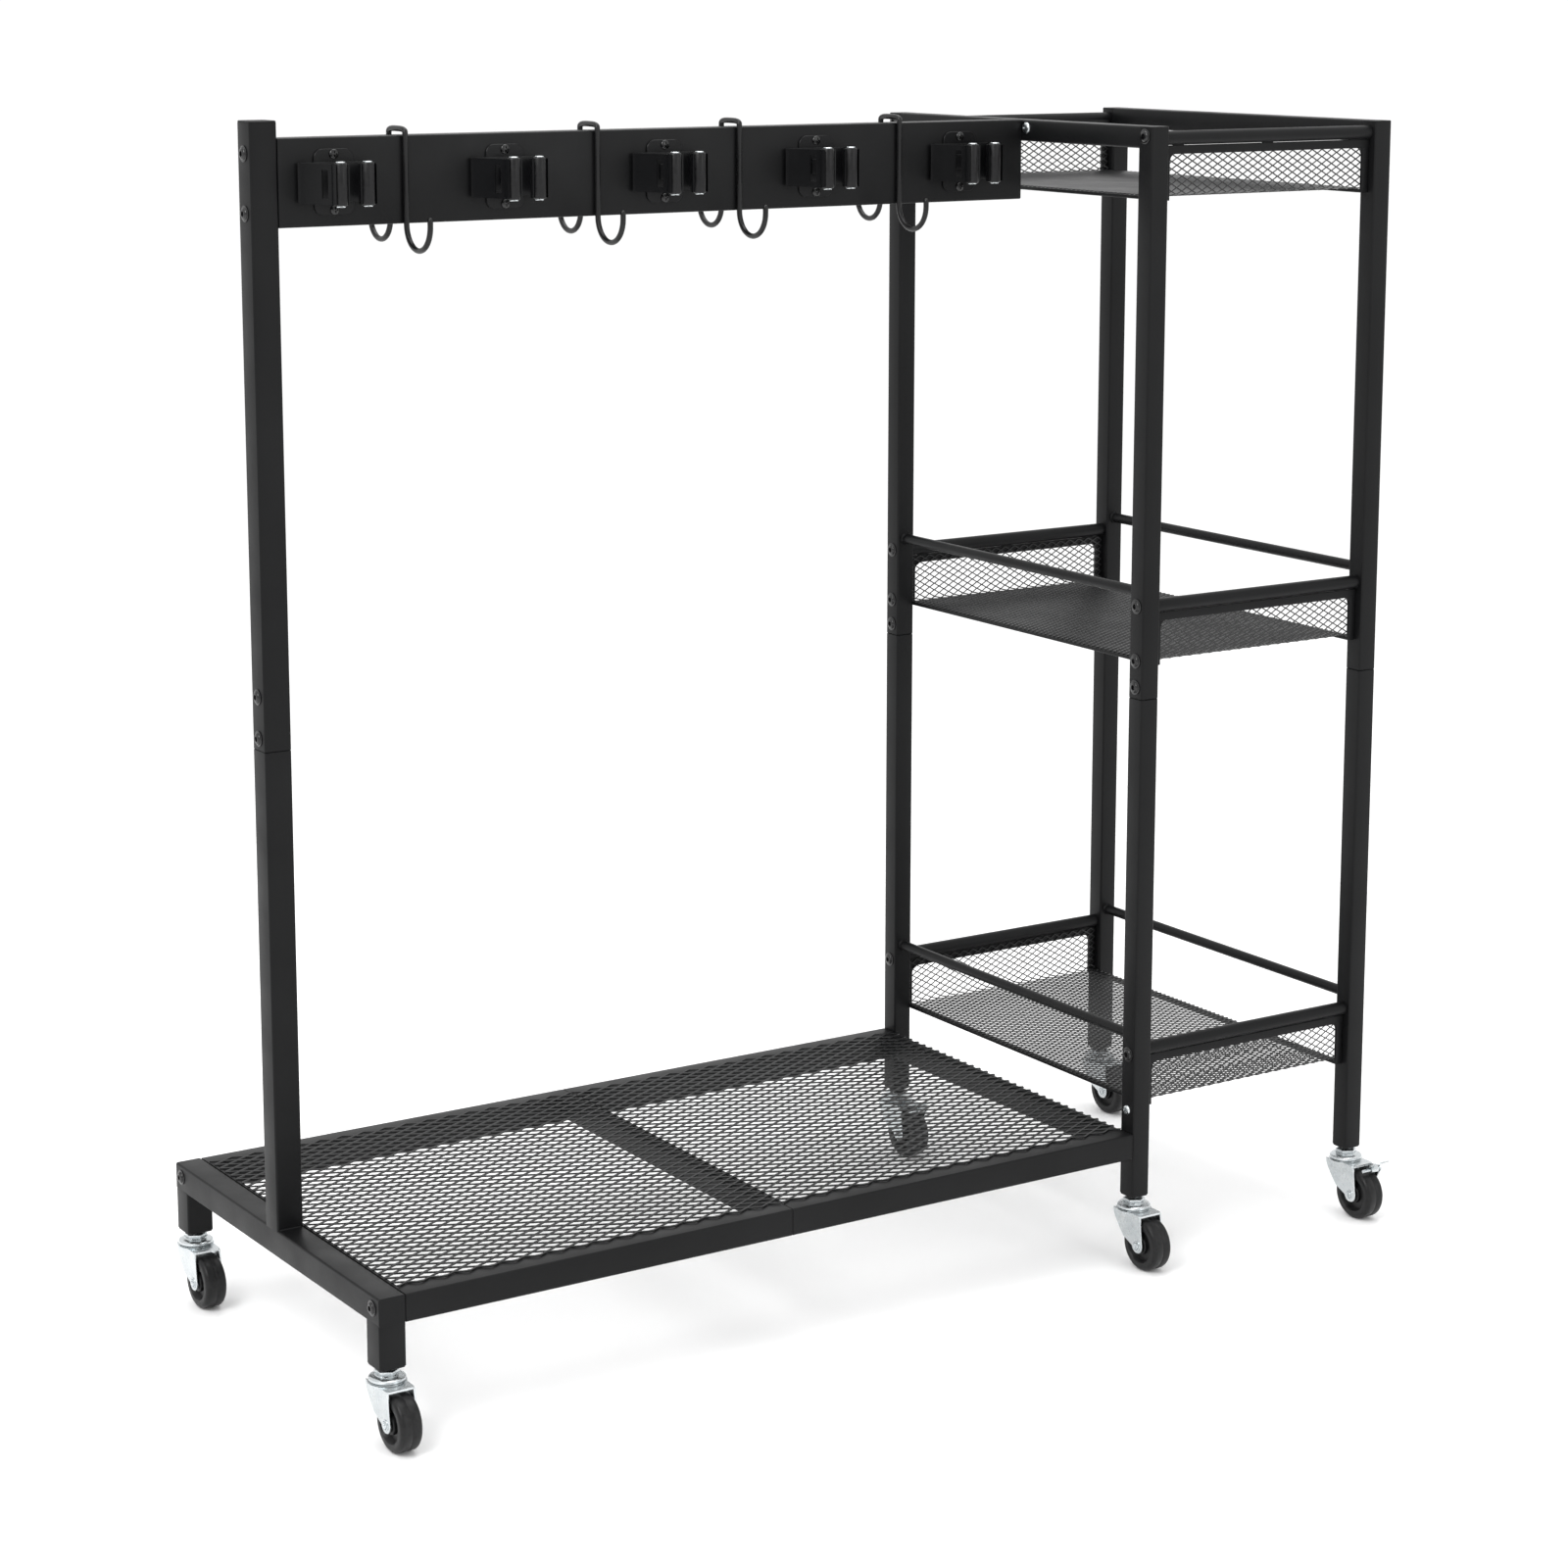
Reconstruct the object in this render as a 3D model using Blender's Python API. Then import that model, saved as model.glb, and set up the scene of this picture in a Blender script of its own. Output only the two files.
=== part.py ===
"""Rolling garden tool organizer: a mesh base, a tool rail with clips and hooks, and a three-basket tower.

Metres, +Z up. The layout is written from the left, front and floor faces of the frame: x runs from the
left end frame to the tower, y from the front face to the back, z up from the floor. One empty carries it
all, and puts the world's origin at the bottom centre of the whole box.
"""

import math

import bmesh
import bpy
from mathutils import Matrix, Vector

# Overall layout
TOWER_X = 0.800            # left face of the tower's left posts
TOWER_WIDTH = 0.290        # outer faces of the left and right ladders
DEPTH = 0.420              # front face to back face of the frame
TOWER_TOP = 1.085          # top of the ladders and of the tool rail
POST_RISE = 0.015          # the left post's top above the tool rail
BASE_TOP = 0.132           # top of the base rails
FOOT = 0.069               # underside of the legs and posts, where the casters screw in

# Tube stock
LEG = 0.025                # square tube of the left end frame and the left post
POST = 0.020               # square tube of the ladders
RAIL = 0.025               # square tube of the long base rails
CROSS_WIDTH = 0.015        # cross rails under the base mesh
CROSS_HEIGHT = 0.020
WALL = 0.0012              # wall of every tube
GAP = 0.0003               # clearance between two pieces that meet
SEAM_LEFT = 0.562          # where the left post's halves meet
SEAM_TOWER = 0.554         # where the ladders' halves meet
SPIGOT_LEFT = 0.062        # how far the lower post's spigot stands into the upper one
SPIGOT_TOWER = 0.026
SPIGOT_ROOT = 0.012        # the spigot's root inside its own tube
WELD = WALL / 2            # how far a rail's end is let into the wall it is welded to

# Tool rail
TOOL_HEIGHT = 0.075
TOOL_DEPTH = 0.025

# Sheets and baskets
SHEET = 0.0012             # thickness of an expanded metal sheet
MESH_INSET = 0.017         # the base mesh's edge, in from the rails' outer faces
MESH_END = 0.001           # the base mesh's end, in from the frame it lies on
BASKET_TUBE = 0.013        # diameter of the tubes along the front and back of a basket
BASKET_LEVELS = {"bottom": 0.212, "middle": 0.641, "top": 1.074}   # heights of their centres
BASKET_DROP = 0.057        # from a tube's centre down to the underside of its basket
STRIP = 0.003              # thickness of a basket's edge strips
STRIP_WIDTH = 0.008
STRIP_GAP = 0.001          # daylight between a basket tube and the strip under it
SPACER = 0.012             # length of the spacer tab between a tube and the strip under it
GUARD_DIAMETER = 0.010     # side guard rods of the two lower baskets
GUARD_LIFT = 0.013         # a guard rod's centre above the basket tubes' centres

# Casters
WHEEL_DIAMETER = 0.050
WHEEL_WIDTH = 0.021
WHEEL_ROUND = 0.003        # rounding of the tread's edges
WHEEL_STEPS = 16           # flats round the tread
HUB_DIAMETER = 0.030       # recess in the wheel's sides
HUB_RECESS = 0.003
AXLE_DIAMETER = 0.006
TRAIL = 0.022              # the axle's offset from the swivel axis, toward the front
FORK_PLATE = 0.0018
FORK_CLEAR = 0.0010        # between the wheel and a fork plate
CROWN_DIAMETER = 0.034
CROWN_CLEAR = 0.0030       # between the tread and the fork's crown
CROWN_HEIGHT = 0.0022
RACE_DIAMETER = 0.032
RACE_HEIGHT = 0.0050
COLLAR_DIAMETER = 0.018
PLUG_DEPTH = 0.018         # the plug that fills a tube's end
FORK_BOSS = 0.0075         # radius of a fork plate's round end
FORK_LIP = 0.0040          # the crown's front edge, beyond the axle
PEDAL_WIDTH = 0.019
PEDAL_LENGTH = 0.022
PEDAL_TILT = math.radians(30)
PEDAL_PLATE = 0.0016
PEDAL_PIN = 0.004          # bore of the pedal's sleeve
PEDAL_HINGE_Y = 0.014      # the pedal's hinge axis beyond the wheel's axle, on the trailing side
PEDAL_HINGE_Z = 0.027      # and above it
EAR = 0.0030               # the ear that holds the pin, round its axis

# Clips on the rail's front face
CLIP_X = [0.076, 0.240, 0.402, 0.564, 0.726]
CLIP_PLATE_WIDTH = 0.037
CLIP_PLATE_HEIGHT = 0.056
CLIP_PLATE = 0.0015
CLIP_ROUND = 0.008         # corner radius of the back plate
WEB_HEIGHT = 0.034         # height of the spring web and of the jaws
WEB = 0.0012
JAW_SPREAD = 0.034         # the jaws' hinge axes, out from the clip's centre
JAW_TIP_SPREAD = 0.025     # where an arm meets its curl
ROLLER_SPREAD = 0.0126     # the rollers' axes, out from the clip's centre
ROLLER_REACH = 0.040       # and out from the rail's face
ROLLER_DIAMETER = 0.0125
ROLLER_LENGTH = 0.038
CURL_DIAMETER = 0.0150

# Wire hooks over the rail
HOOK_X = [0.143, 0.332, 0.480, 0.656]
HOOK_WIRE = 0.005
HOOK_ARCH = 0.0055         # rise of the wire's centre line over the rail's top
HOOK_FRONT_RADIUS = 0.022
HOOK_BACK_RADIUS = 0.019
HOOK_BACK_RISE = 0.003     # the back J's centre above the rail's underside; the front J's is level with it
HOOK_TIP = 0.005           # straight end of a J above its centre

# Worked out from the above
TOTAL_LENGTH = TOWER_X + TOWER_WIDTH
MIDDLE_Y = DEPTH / 2
BASE_SEAM = (LEG + TOWER_X) / 2
AXLE_Z = WHEEL_DIAMETER / 2
FORK_INNER = WHEEL_WIDTH / 2 + FORK_CLEAR
FORK_OUTER = FORK_INNER + FORK_PLATE
CROWN_Z = WHEEL_DIAMETER + CROWN_CLEAR
RACE_Z = CROWN_Z + CROWN_HEIGHT + GAP
RAIL_FRONT = MIDDLE_Y - TOOL_DEPTH / 2
RAIL_BACK = MIDDLE_Y + TOOL_DEPTH / 2
TOOL_BOTTOM = TOWER_TOP - TOOL_HEIGHT
TOOL_MIDDLE = TOWER_TOP - TOOL_HEIGHT / 2
PEDAL_REACH = (PEDAL_HINGE_Y + PEDAL_LENGTH * math.cos(PEDAL_TILT)
               - PEDAL_PIN / 2 * math.sin(PEDAL_TILT))
FRONT_REACH = TRAIL + max(WHEEL_DIAMETER / 2 - LEG / 2, PEDAL_REACH - POST / 2)
SIDE_REACH_LEFT = CROWN_DIAMETER / 2 - LEG / 2      # a fork's crown stands this far out of a leg's faces
SIDE_REACH_RIGHT = CROWN_DIAMETER / 2 - POST / 2    # and out of a ladder post's faces
INNER_X0 = TOWER_X + POST
INNER_X1 = TOTAL_LENGTH - POST

BLACK_METAL = ("black_powder_coat", (0.022, 0.023, 0.024), 0.45, 0.0)
ZINC = ("zinc_plate", (0.72, 0.73, 0.75), 0.28, 1.0)
BLACK_WHEEL = ("black_wheel_plastic", (0.016, 0.016, 0.017), 0.5, 0.0)
BLACK_WIRE = ("black_wire_coat", (0.018, 0.018, 0.019), 0.4, 0.0)
CLIP_STEEL = ("black_clip_steel", (0.020, 0.020, 0.022), 0.42, 0.0)


def clear_scene():
    for obj in list(bpy.data.objects):
        bpy.data.objects.remove(obj, do_unlink=True)


def material(spec):
    name, colour, roughness, metallic = spec
    found = bpy.data.materials.get(name)
    if found:
        return found
    made = bpy.data.materials.new(name)
    made.use_nodes = True
    shader = made.node_tree.nodes["Principled BSDF"]
    shader.inputs["Base Color"].default_value = (*colour, 1.0)
    shader.inputs["Roughness"].default_value = roughness
    shader.inputs["Metallic"].default_value = metallic
    made.diffuse_color = (*colour, 1.0)
    return made


def add_object(name, bm, spec=None, smooth_angle=None):
    bmesh.ops.recalc_face_normals(bm, faces=bm.faces)
    mesh = bpy.data.meshes.new(name)
    bm.to_mesh(mesh)
    bm.free()
    if spec:
        mesh.materials.append(material(spec))
    if smooth_angle is not None:
        mesh.shade_smooth()
        mesh.set_sharp_from_angle(angle=smooth_angle)
    obj = bpy.data.objects.new(name, mesh)
    bpy.context.scene.collection.objects.link(obj)
    return obj


def box(x0, x1, y0, y1, z0, z1):
    """A box between two corners, as a bmesh."""
    bm = bmesh.new()
    bmesh.ops.create_cube(bm, size=1.0)
    size = Vector((x1 - x0, y1 - y0, z1 - z0))
    centre = Vector((x0 + x1, y0 + y1, z0 + z1)) / 2
    bmesh.ops.transform(bm, matrix=Matrix.LocRotScale(centre, None, size), verts=bm.verts)
    return bm


def rod(start, end, diameter, sides=16):
    """A round bar between two points, as a bmesh."""
    start, end = Vector(start), Vector(end)
    bm = bmesh.new()
    bmesh.ops.create_cone(bm, cap_ends=True, segments=sides, radius1=diameter / 2, radius2=diameter / 2,
                          depth=(end - start).length)
    turn = (end - start).to_track_quat("Z", "X")
    bmesh.ops.transform(bm, matrix=Matrix.LocRotScale((start + end) / 2, turn, None), verts=bm.verts)
    return bm


def extrusion(outline, axis, low, high):
    """A closed outline of 2-D points pushed along X, Y or Z, as a bmesh."""
    place = {
        "x": lambda a, b, c: (c, a, b),
        "y": lambda a, b, c: (a, c, b),
        "z": lambda a, b, c: (a, b, c),
    }[axis]
    bm = bmesh.new()
    face = bm.faces.new([bm.verts.new(place(a, b, low)) for a, b in outline])
    pushed = bmesh.ops.extrude_face_region(bm, geom=[face])
    moved = [v for v in pushed["geom"] if isinstance(v, bmesh.types.BMVert)]
    bmesh.ops.translate(bm, verts=moved, vec=place(0, 0, high - low))
    return bm


def turned(profile, axis_point, sides=24):
    """A profile of (radius, height) points turned about the vertical through a point, with flat ends."""
    bm = bmesh.new()
    turns = [math.tau * k / sides for k in range(sides)]
    rings = [[bm.verts.new((r * math.cos(t), r * math.sin(t), z)) for t in turns] for r, z in profile]
    for low, high in zip(rings, rings[1:]):
        for k in range(sides):
            bm.faces.new((low[k], low[(k + 1) % sides], high[(k + 1) % sides], high[k]))
    bm.faces.new(rings[0])
    bm.faces.new(rings[-1])
    bmesh.ops.translate(bm, verts=bm.verts, vec=axis_point)
    return bm


def solid(name, adds, cuts, spec, smooth_angle=None):
    """One closed body: the first shape, joined with the others, less the cuts."""
    obj = add_object(name, adds[0], spec)
    helpers = []
    for operation, shapes in (("UNION", adds[1:]), ("DIFFERENCE", cuts)):
        for number, shape in enumerate(shapes):
            helper = add_object(f"{name}_{operation.lower()}_{number}", shape)
            step = obj.modifiers.new(helper.name, "BOOLEAN")
            step.operation = operation
            step.object = helper
            step.solver = "EXACT"
            helpers.append(helper)
    bpy.context.view_layer.update()
    graph = bpy.context.evaluated_depsgraph_get()
    mesh = bpy.data.meshes.new_from_object(obj.evaluated_get(graph))
    obj.modifiers.clear()
    obj.data = mesh
    mesh.name = name
    for helper in helpers:
        bpy.data.objects.remove(helper, do_unlink=True)
    if smooth_angle is not None:
        mesh.shade_smooth()
        mesh.set_sharp_from_angle(angle=smooth_angle)
    return obj


def attach(obj, parent):
    """Parents an object and keeps its place, with its mesh moved so that its origin is the parent's."""
    shift = parent.matrix_world.translation
    obj.data.transform(Matrix.Translation(-shift))
    obj.parent = parent
    obj.location = (0, 0, 0)


def empty(name, place, parent):
    made = bpy.data.objects.new(name, None)
    bpy.context.scene.collection.objects.link(made)
    made.empty_display_size = 0.02
    made.parent = parent
    made.location = Vector(place) - parent_place(parent)
    bpy.context.view_layer.update()
    return made


def parent_place(parent):
    return parent.matrix_world.translation if parent else Vector((0, 0, 0))


def square(x0, y0, size, z0, z1):
    """An upright square bar with its low corner at x0, y0."""
    return box(x0, x0 + size, y0, y0 + size, z0, z1)


def bore(x0, y0, size, z0, z1, wall=WALL):
    """The hollow of such a bar."""
    return square(x0 + wall, y0 + wall, size - 2 * wall, z0, z1)


# The left end frame: a crossbar on two legs, with the lower half of the post on its middle


def left_end_frame():
    post_y = MIDDLE_Y - LEG / 2
    inside = WALL + GAP
    spigot = LEG - 2 * inside
    adds = [
        square(0, 0, LEG, FOOT, BASE_TOP),
        square(0, DEPTH - LEG, LEG, FOOT, BASE_TOP),
        box(0, LEG, LEG - WELD, DEPTH - LEG + WELD, BASE_TOP - LEG, BASE_TOP),
        square(0, post_y, LEG, BASE_TOP - WELD, SEAM_LEFT),
        square(inside, post_y + inside, spigot, SEAM_LEFT - SPIGOT_ROOT, SEAM_LEFT + SPIGOT_LEFT),
    ]
    cuts = [
        bore(0, 0, LEG, FOOT - WALL, BASE_TOP - WALL),
        bore(0, DEPTH - LEG, LEG, FOOT - WALL, BASE_TOP - WALL),
        box(WALL, LEG - WALL, 2 * WALL, DEPTH - 2 * WALL, BASE_TOP - LEG + WALL, BASE_TOP - WALL),
        bore(0, post_y, LEG, BASE_TOP - LEG / 2, SEAM_LEFT - SPIGOT_ROOT),
        bore(inside, post_y + inside, spigot, SEAM_LEFT - 2 * SPIGOT_ROOT, SEAM_LEFT + SPIGOT_LEFT + WALL),
    ]
    return solid("left_end_frame", adds, cuts, BLACK_METAL)


def left_post_upper():
    post_y = MIDDLE_Y - LEG / 2
    adds = [square(0, post_y, LEG, SEAM_LEFT + GAP, TOWER_TOP + POST_RISE)]
    cuts = [bore(0, post_y, LEG, SEAM_LEFT - WALL, TOWER_TOP + POST_RISE - WALL)]
    return solid("left_post_upper", adds, cuts, BLACK_METAL)


def tool_rail():
    x0, x1 = LEG + GAP, TOWER_X - GAP
    adds = [box(x0, x1, RAIL_FRONT, RAIL_BACK, TOOL_BOTTOM, TOWER_TOP)]
    cuts = [box(x0 - WALL, x1 + WALL, RAIL_FRONT + WALL, RAIL_BACK - WALL,
                TOOL_BOTTOM + WALL, TOWER_TOP - WALL)]
    return solid("tool_rail", adds, cuts, BLACK_METAL)


# The base: two frames that butt at the seam, each with a cross rail under its right end


def base_frame(name, x0, x1):
    low = BASE_TOP - RAIL
    cross_low = BASE_TOP - CROSS_HEIGHT
    adds = [
        box(x0, x1, 0, RAIL, low, BASE_TOP),
        box(x0, x1, DEPTH - RAIL, DEPTH, low, BASE_TOP),
        box(x1 - CROSS_WIDTH, x1, RAIL - WELD, DEPTH - RAIL + WELD, cross_low, BASE_TOP),
    ]
    cuts = [
        box(x0 - WALL, x1 + WALL, WALL, RAIL - WALL, low + WALL, BASE_TOP - WALL),
        box(x0 - WALL, x1 + WALL, DEPTH - RAIL + WALL, DEPTH - WALL, low + WALL, BASE_TOP - WALL),
        box(x1 - CROSS_WIDTH + WALL, x1 - WALL, RAIL - 2 * WALL, DEPTH - RAIL + 2 * WALL,
            cross_low + WALL, BASE_TOP - WALL),
    ]
    return solid(name, adds, cuts, BLACK_METAL)


def base_mesh(name, x0, x1):
    low = BASE_TOP + GAP
    return add_object(name, box(x0, x1, MESH_INSET, DEPTH - MESH_INSET, low, low + SHEET), BLACK_METAL)


def base():
    left = base_frame("base_frame_left", LEG + GAP, BASE_SEAM - GAP / 2)
    right = base_frame("base_frame_right", BASE_SEAM + GAP / 2, TOWER_X - GAP)
    left_mesh = base_mesh("base_mesh_left", LEG + MESH_END, BASE_SEAM - MESH_END / 2)
    right_mesh = base_mesh("base_mesh_right", BASE_SEAM + MESH_END / 2, TOWER_X - MESH_END)
    return [left, right, left_mesh, right_mesh]


# The tower's ladders: two posts in two halves, a top rail and two guard rods


def guard(x, level):
    height = BASKET_LEVELS[level] + GUARD_LIFT
    reach = POST - WALL / 2
    return rod((x, reach, height), (x, DEPTH - reach, height), GUARD_DIAMETER)


def ladder_upper(name, x):
    low = SEAM_TOWER + GAP
    far = DEPTH - POST
    adds = [
        square(x, 0, POST, low, TOWER_TOP),
        square(x, far, POST, low, TOWER_TOP),
        box(x, x + POST, POST - WELD, far + WELD, TOWER_TOP - POST, TOWER_TOP),
        guard(x + POST / 2, "middle"),
    ]
    cuts = [
        bore(x, 0, POST, low - WALL, TOWER_TOP - WALL),
        bore(x, far, POST, low - WALL, TOWER_TOP - WALL),
        box(x + WALL, x + POST - WALL, POST - 2 * WALL, far + 2 * WALL,
            TOWER_TOP - POST + WALL, TOWER_TOP - WALL),
    ]
    return solid(name, adds, cuts, BLACK_METAL)


def ladder_lower(name, x):
    far = DEPTH - POST
    inside = WALL + GAP
    spigot = POST - 2 * inside
    adds = [guard(x + POST / 2, "bottom")]
    cuts = []
    for y in (0, far):
        adds.append(square(x, y, POST, FOOT, SEAM_TOWER))
        adds.append(square(x + inside, y + inside, spigot,
                           SEAM_TOWER - SPIGOT_ROOT, SEAM_TOWER + SPIGOT_TOWER))
        cuts.append(bore(x, y, POST, FOOT - WALL, SEAM_TOWER - SPIGOT_ROOT))
        cuts.append(bore(x + inside, y + inside, spigot, SEAM_TOWER - 2 * SPIGOT_ROOT,
                         SEAM_TOWER + SPIGOT_TOWER + WALL))
    return solid(name, adds, cuts, BLACK_METAL)


def tower():
    right = TOTAL_LENGTH - POST
    return [
        ladder_upper("ladder_left_upper", TOWER_X),
        ladder_lower("ladder_left_lower", TOWER_X),
        ladder_upper("ladder_right_upper", right),
        ladder_lower("ladder_right_lower", right),
    ]


# The baskets: tubes along front and back, strips that hang from them, and a mesh trough in the strips


def basket_frame(name, level):
    tube_z = BASKET_LEVELS[level]
    floor = tube_z - BASKET_DROP
    strip_top = tube_z - BASKET_TUBE / 2 - STRIP_GAP
    x0, x1 = INNER_X0 + GAP, INNER_X1 - GAP
    front_y, back_y = POST / 2, DEPTH - POST / 2
    half = STRIP / 2
    adds = []
    for y in (front_y, back_y):
        adds.append(rod((x0, y, tube_z), (x1, y, tube_z), BASKET_TUBE, sides=12))
    for y in (front_y, back_y):
        adds.append(box(x0, x1, y - half, y + half, strip_top - STRIP_WIDTH, strip_top))
        for x in (x0 + SPACER, (x0 + x1 - SPACER) / 2, x1 - 2 * SPACER):
            adds.append(box(x, x + SPACER, y - half, y + half, strip_top - STRIP, tube_z - BASKET_TUBE / 4))
    for x in (x0, x1 - STRIP_WIDTH):
        for y in (front_y, back_y):
            adds.append(box(x, x + STRIP_WIDTH, y - half, y + half, floor, strip_top - STRIP))
        adds.append(box(x, x + STRIP_WIDTH, front_y, back_y, floor, floor + STRIP))
    cuts = [
        rod((x0 - WALL, y, tube_z), (x1 + WALL, y, tube_z), BASKET_TUBE - 2 * WALL, sides=12)
        for y in (front_y, back_y)
    ]
    return solid(name, adds, cuts, BLACK_METAL)


def basket_mesh(name, level):
    """A trough of sheet: its floor lies on the side strips, its walls inside the upright strips."""
    tube_z = BASKET_LEVELS[level]
    floor = tube_z - BASKET_DROP + STRIP + GAP
    lip = tube_z - BASKET_TUBE / 2 - STRIP_GAP
    y0 = POST / 2 + STRIP / 2 + GAP
    y1 = DEPTH - y0
    outline = [
        (y0, lip), (y0, floor), (y1, floor), (y1, lip),
        (y1 - SHEET, lip), (y1 - SHEET, floor + SHEET), (y0 + SHEET, floor + SHEET), (y0 + SHEET, lip),
    ]
    shape = extrusion(outline, "x", INNER_X0 + 2 * GAP, INNER_X1 - 2 * GAP)
    return add_object(name, shape, BLACK_METAL)


def baskets():
    made = []
    for level in BASKET_LEVELS:
        made.append(basket_frame(f"basket_frame_{level}", level))
        made.append(basket_mesh(f"basket_mesh_{level}", level))
    return made


# A caster: stem and upper race in the tube's end, a fork that swivels under it, and a wheel


def caster_stem(name, x, y, tube):
    plug = tube - 2 * (WALL + GAP)
    body = turned(
        [
            (RACE_DIAMETER / 2 - 0.002, RACE_Z), (RACE_DIAMETER / 2, RACE_Z + 0.002),
            (COLLAR_DIAMETER / 2, RACE_Z + RACE_HEIGHT), (COLLAR_DIAMETER / 2, FOOT - GAP),
        ],
        (x, y, 0),
    )
    fill = square(x - plug / 2, y - plug / 2, plug, FOOT + GAP, FOOT + PLUG_DEPTH)
    neck = rod((x, y, FOOT - 0.002), (x, y, FOOT + PLUG_DEPTH / 2), COLLAR_DIAMETER / 2)
    return solid(name, [body, neck, fill], [], ZINC, math.radians(30))


def caster_fork(name, x, y, braked):
    """A crown with two plates down to the axle; a brake's pin stands out of an ear on the right plate."""
    axle_y = y - TRAIL
    top = CROWN_Z + CROWN_HEIGHT
    rim = CROWN_DIAMETER / 2
    front = axle_y - FORK_LIP
    half = PEDAL_WIDTH / 2
    adds = [turned([(rim, CROWN_Z), (rim, top)], (x, y, 0))]
    adds.append(box(x - FORK_OUTER, x + FORK_OUTER, front, y, CROWN_Z, top))
    turns = [math.radians(-180 + 30 * step) for step in range(6)]
    boss = [(axle_y + FORK_BOSS * math.cos(turn), AXLE_Z + FORK_BOSS * math.sin(turn)) for turn in turns]
    heel = [(y, AXLE_Z + 0.0045), (y + 0.009, CROWN_Z - 0.006), (y + 0.0095, CROWN_Z + GAP)]
    shin = boss + heel
    ear = (axle_y - PEDAL_HINGE_Y, AXLE_Z + PEDAL_HINGE_Z)
    plain = shin + [(front, CROWN_Z + GAP)]
    eared = shin + [(front, CROWN_Z + GAP), (ear[0] - EAR / 2, ear[1] + EAR), (ear[0] - EAR, ear[1]),
                    (ear[0] - EAR / 2, ear[1] - EAR), (axle_y - FORK_BOSS, AXLE_Z + FORK_BOSS)]
    for low, outline in ((-FORK_OUTER, plain), (FORK_INNER, eared if braked else plain)):
        adds.append(extrusion(outline, "x", x + low, x + low + FORK_PLATE))
    head = FORK_OUTER + 0.0015
    adds.append(rod((x - head, axle_y, AXLE_Z), (x + head, axle_y, AXLE_Z), AXLE_DIAMETER))
    if braked:
        adds.append(rod((x - half, *ear), (x + FORK_OUTER - WELD, *ear), PEDAL_PIN - 2 * GAP, sides=12))
    return solid(name, adds, [], ZINC, math.radians(30))


def caster_wheel(name, x, y):
    """Turned about X: a tread with rounded edges, a recess in each side, a hub and a bore."""
    half = WHEEL_WIDTH / 2
    r = WHEEL_DIAMETER / 2
    bore_r = AXLE_DIAMETER / 2 + GAP
    hub = HUB_DIAMETER / 2
    profile = [(bore_r, half), (0.0065, half), (0.0075, half - HUB_RECESS),
               (hub, half - HUB_RECESS), (hub + 0.0015, half)]
    for step in range(3):
        turn = math.radians(45 * step)
        across = half - WHEEL_ROUND + WHEEL_ROUND * math.cos(turn)
        profile.append((r - WHEEL_ROUND + WHEEL_ROUND * math.sin(turn), across))
    profile += [(a, -b) for a, b in reversed(profile)]
    bm = bmesh.new()
    verts = [bm.verts.new((b, a, 0)) for a, b in profile]
    edges = [bm.edges.new(pair) for pair in zip(verts, verts[1:] + verts[:1])]
    bmesh.ops.spin(bm, geom=verts + edges, cent=(0, 0, 0), axis=(1, 0, 0), angle=math.tau,
                   steps=WHEEL_STEPS, use_merge=True)
    bmesh.ops.remove_doubles(bm, verts=bm.verts, dist=1e-6)
    bmesh.ops.translate(bm, verts=bm.verts, vec=(x, y - TRAIL, AXLE_Z))
    return add_object(name, bm, BLACK_WHEEL, math.radians(35))


def brake_pedal(name, x, y):
    """A plate that rises outward from a sleeve round the fork's pin."""
    hinge_y = y - TRAIL - PEDAL_HINGE_Y
    hinge_z = AXLE_Z + PEDAL_HINGE_Z
    half = PEDAL_WIDTH / 2
    sleeve = PEDAL_PIN / 2 + PEDAL_PLATE
    out = Vector((-math.cos(PEDAL_TILT), math.sin(PEDAL_TILT)))
    up = Vector((out.y, -out.x))
    root = Vector((hinge_y, hinge_z))
    low, high = up * (sleeve - PEDAL_PLATE), up * sleeve
    end = out * PEDAL_LENGTH
    corners = [tuple(root + at) for at in (low, low + end, high + end, high)]
    plate = extrusion(corners, "x", x - half, x + half)
    barrel = rod((x - half, hinge_y, hinge_z), (x + half, hinge_y, hinge_z), 2 * sleeve)
    hole = rod((x - 2 * half, hinge_y, hinge_z), (x + 2 * half, hinge_y, hinge_z), PEDAL_PIN)
    return solid(name, [plate, barrel], [hole], ZINC, math.radians(30))


def casters(root):
    near, far = LEG / 2, DEPTH - LEG / 2
    post = POST / 2
    places = {
        "front_left": (near, near, LEG, False),
        "back_left": (near, far, LEG, False),
        "front_middle": (TOWER_X + post, post, POST, False),
        "back_middle": (TOWER_X + post, DEPTH - post, POST, True),
        "front_right": (TOTAL_LENGTH - post, post, POST, True),
        "back_right": (TOTAL_LENGTH - post, DEPTH - post, POST, False),
    }
    for place, (x, y, tube, braked) in places.items():
        attach(caster_stem(f"caster_stem_{place}", x, y, tube), root)
        swivel = empty(f"swivel_{place}", (x, y, RACE_Z), root)
        attach(caster_fork(f"caster_fork_{place}", x, y, braked), swivel)
        axle = empty(f"axle_{place}", (x, y - TRAIL, AXLE_Z), swivel)
        attach(caster_wheel(f"caster_wheel_{place}", x, y), axle)
        if braked:
            pin = (x, y - TRAIL - PEDAL_HINGE_Y, AXLE_Z + PEDAL_HINGE_Z)
            hinge = empty(f"brake_{place}", pin, swivel)
            attach(brake_pedal(f"brake_pedal_{place}", x, y), hinge)


# Clips: a back plate and spring web on the rail, and two jaws that carry the rollers


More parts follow.
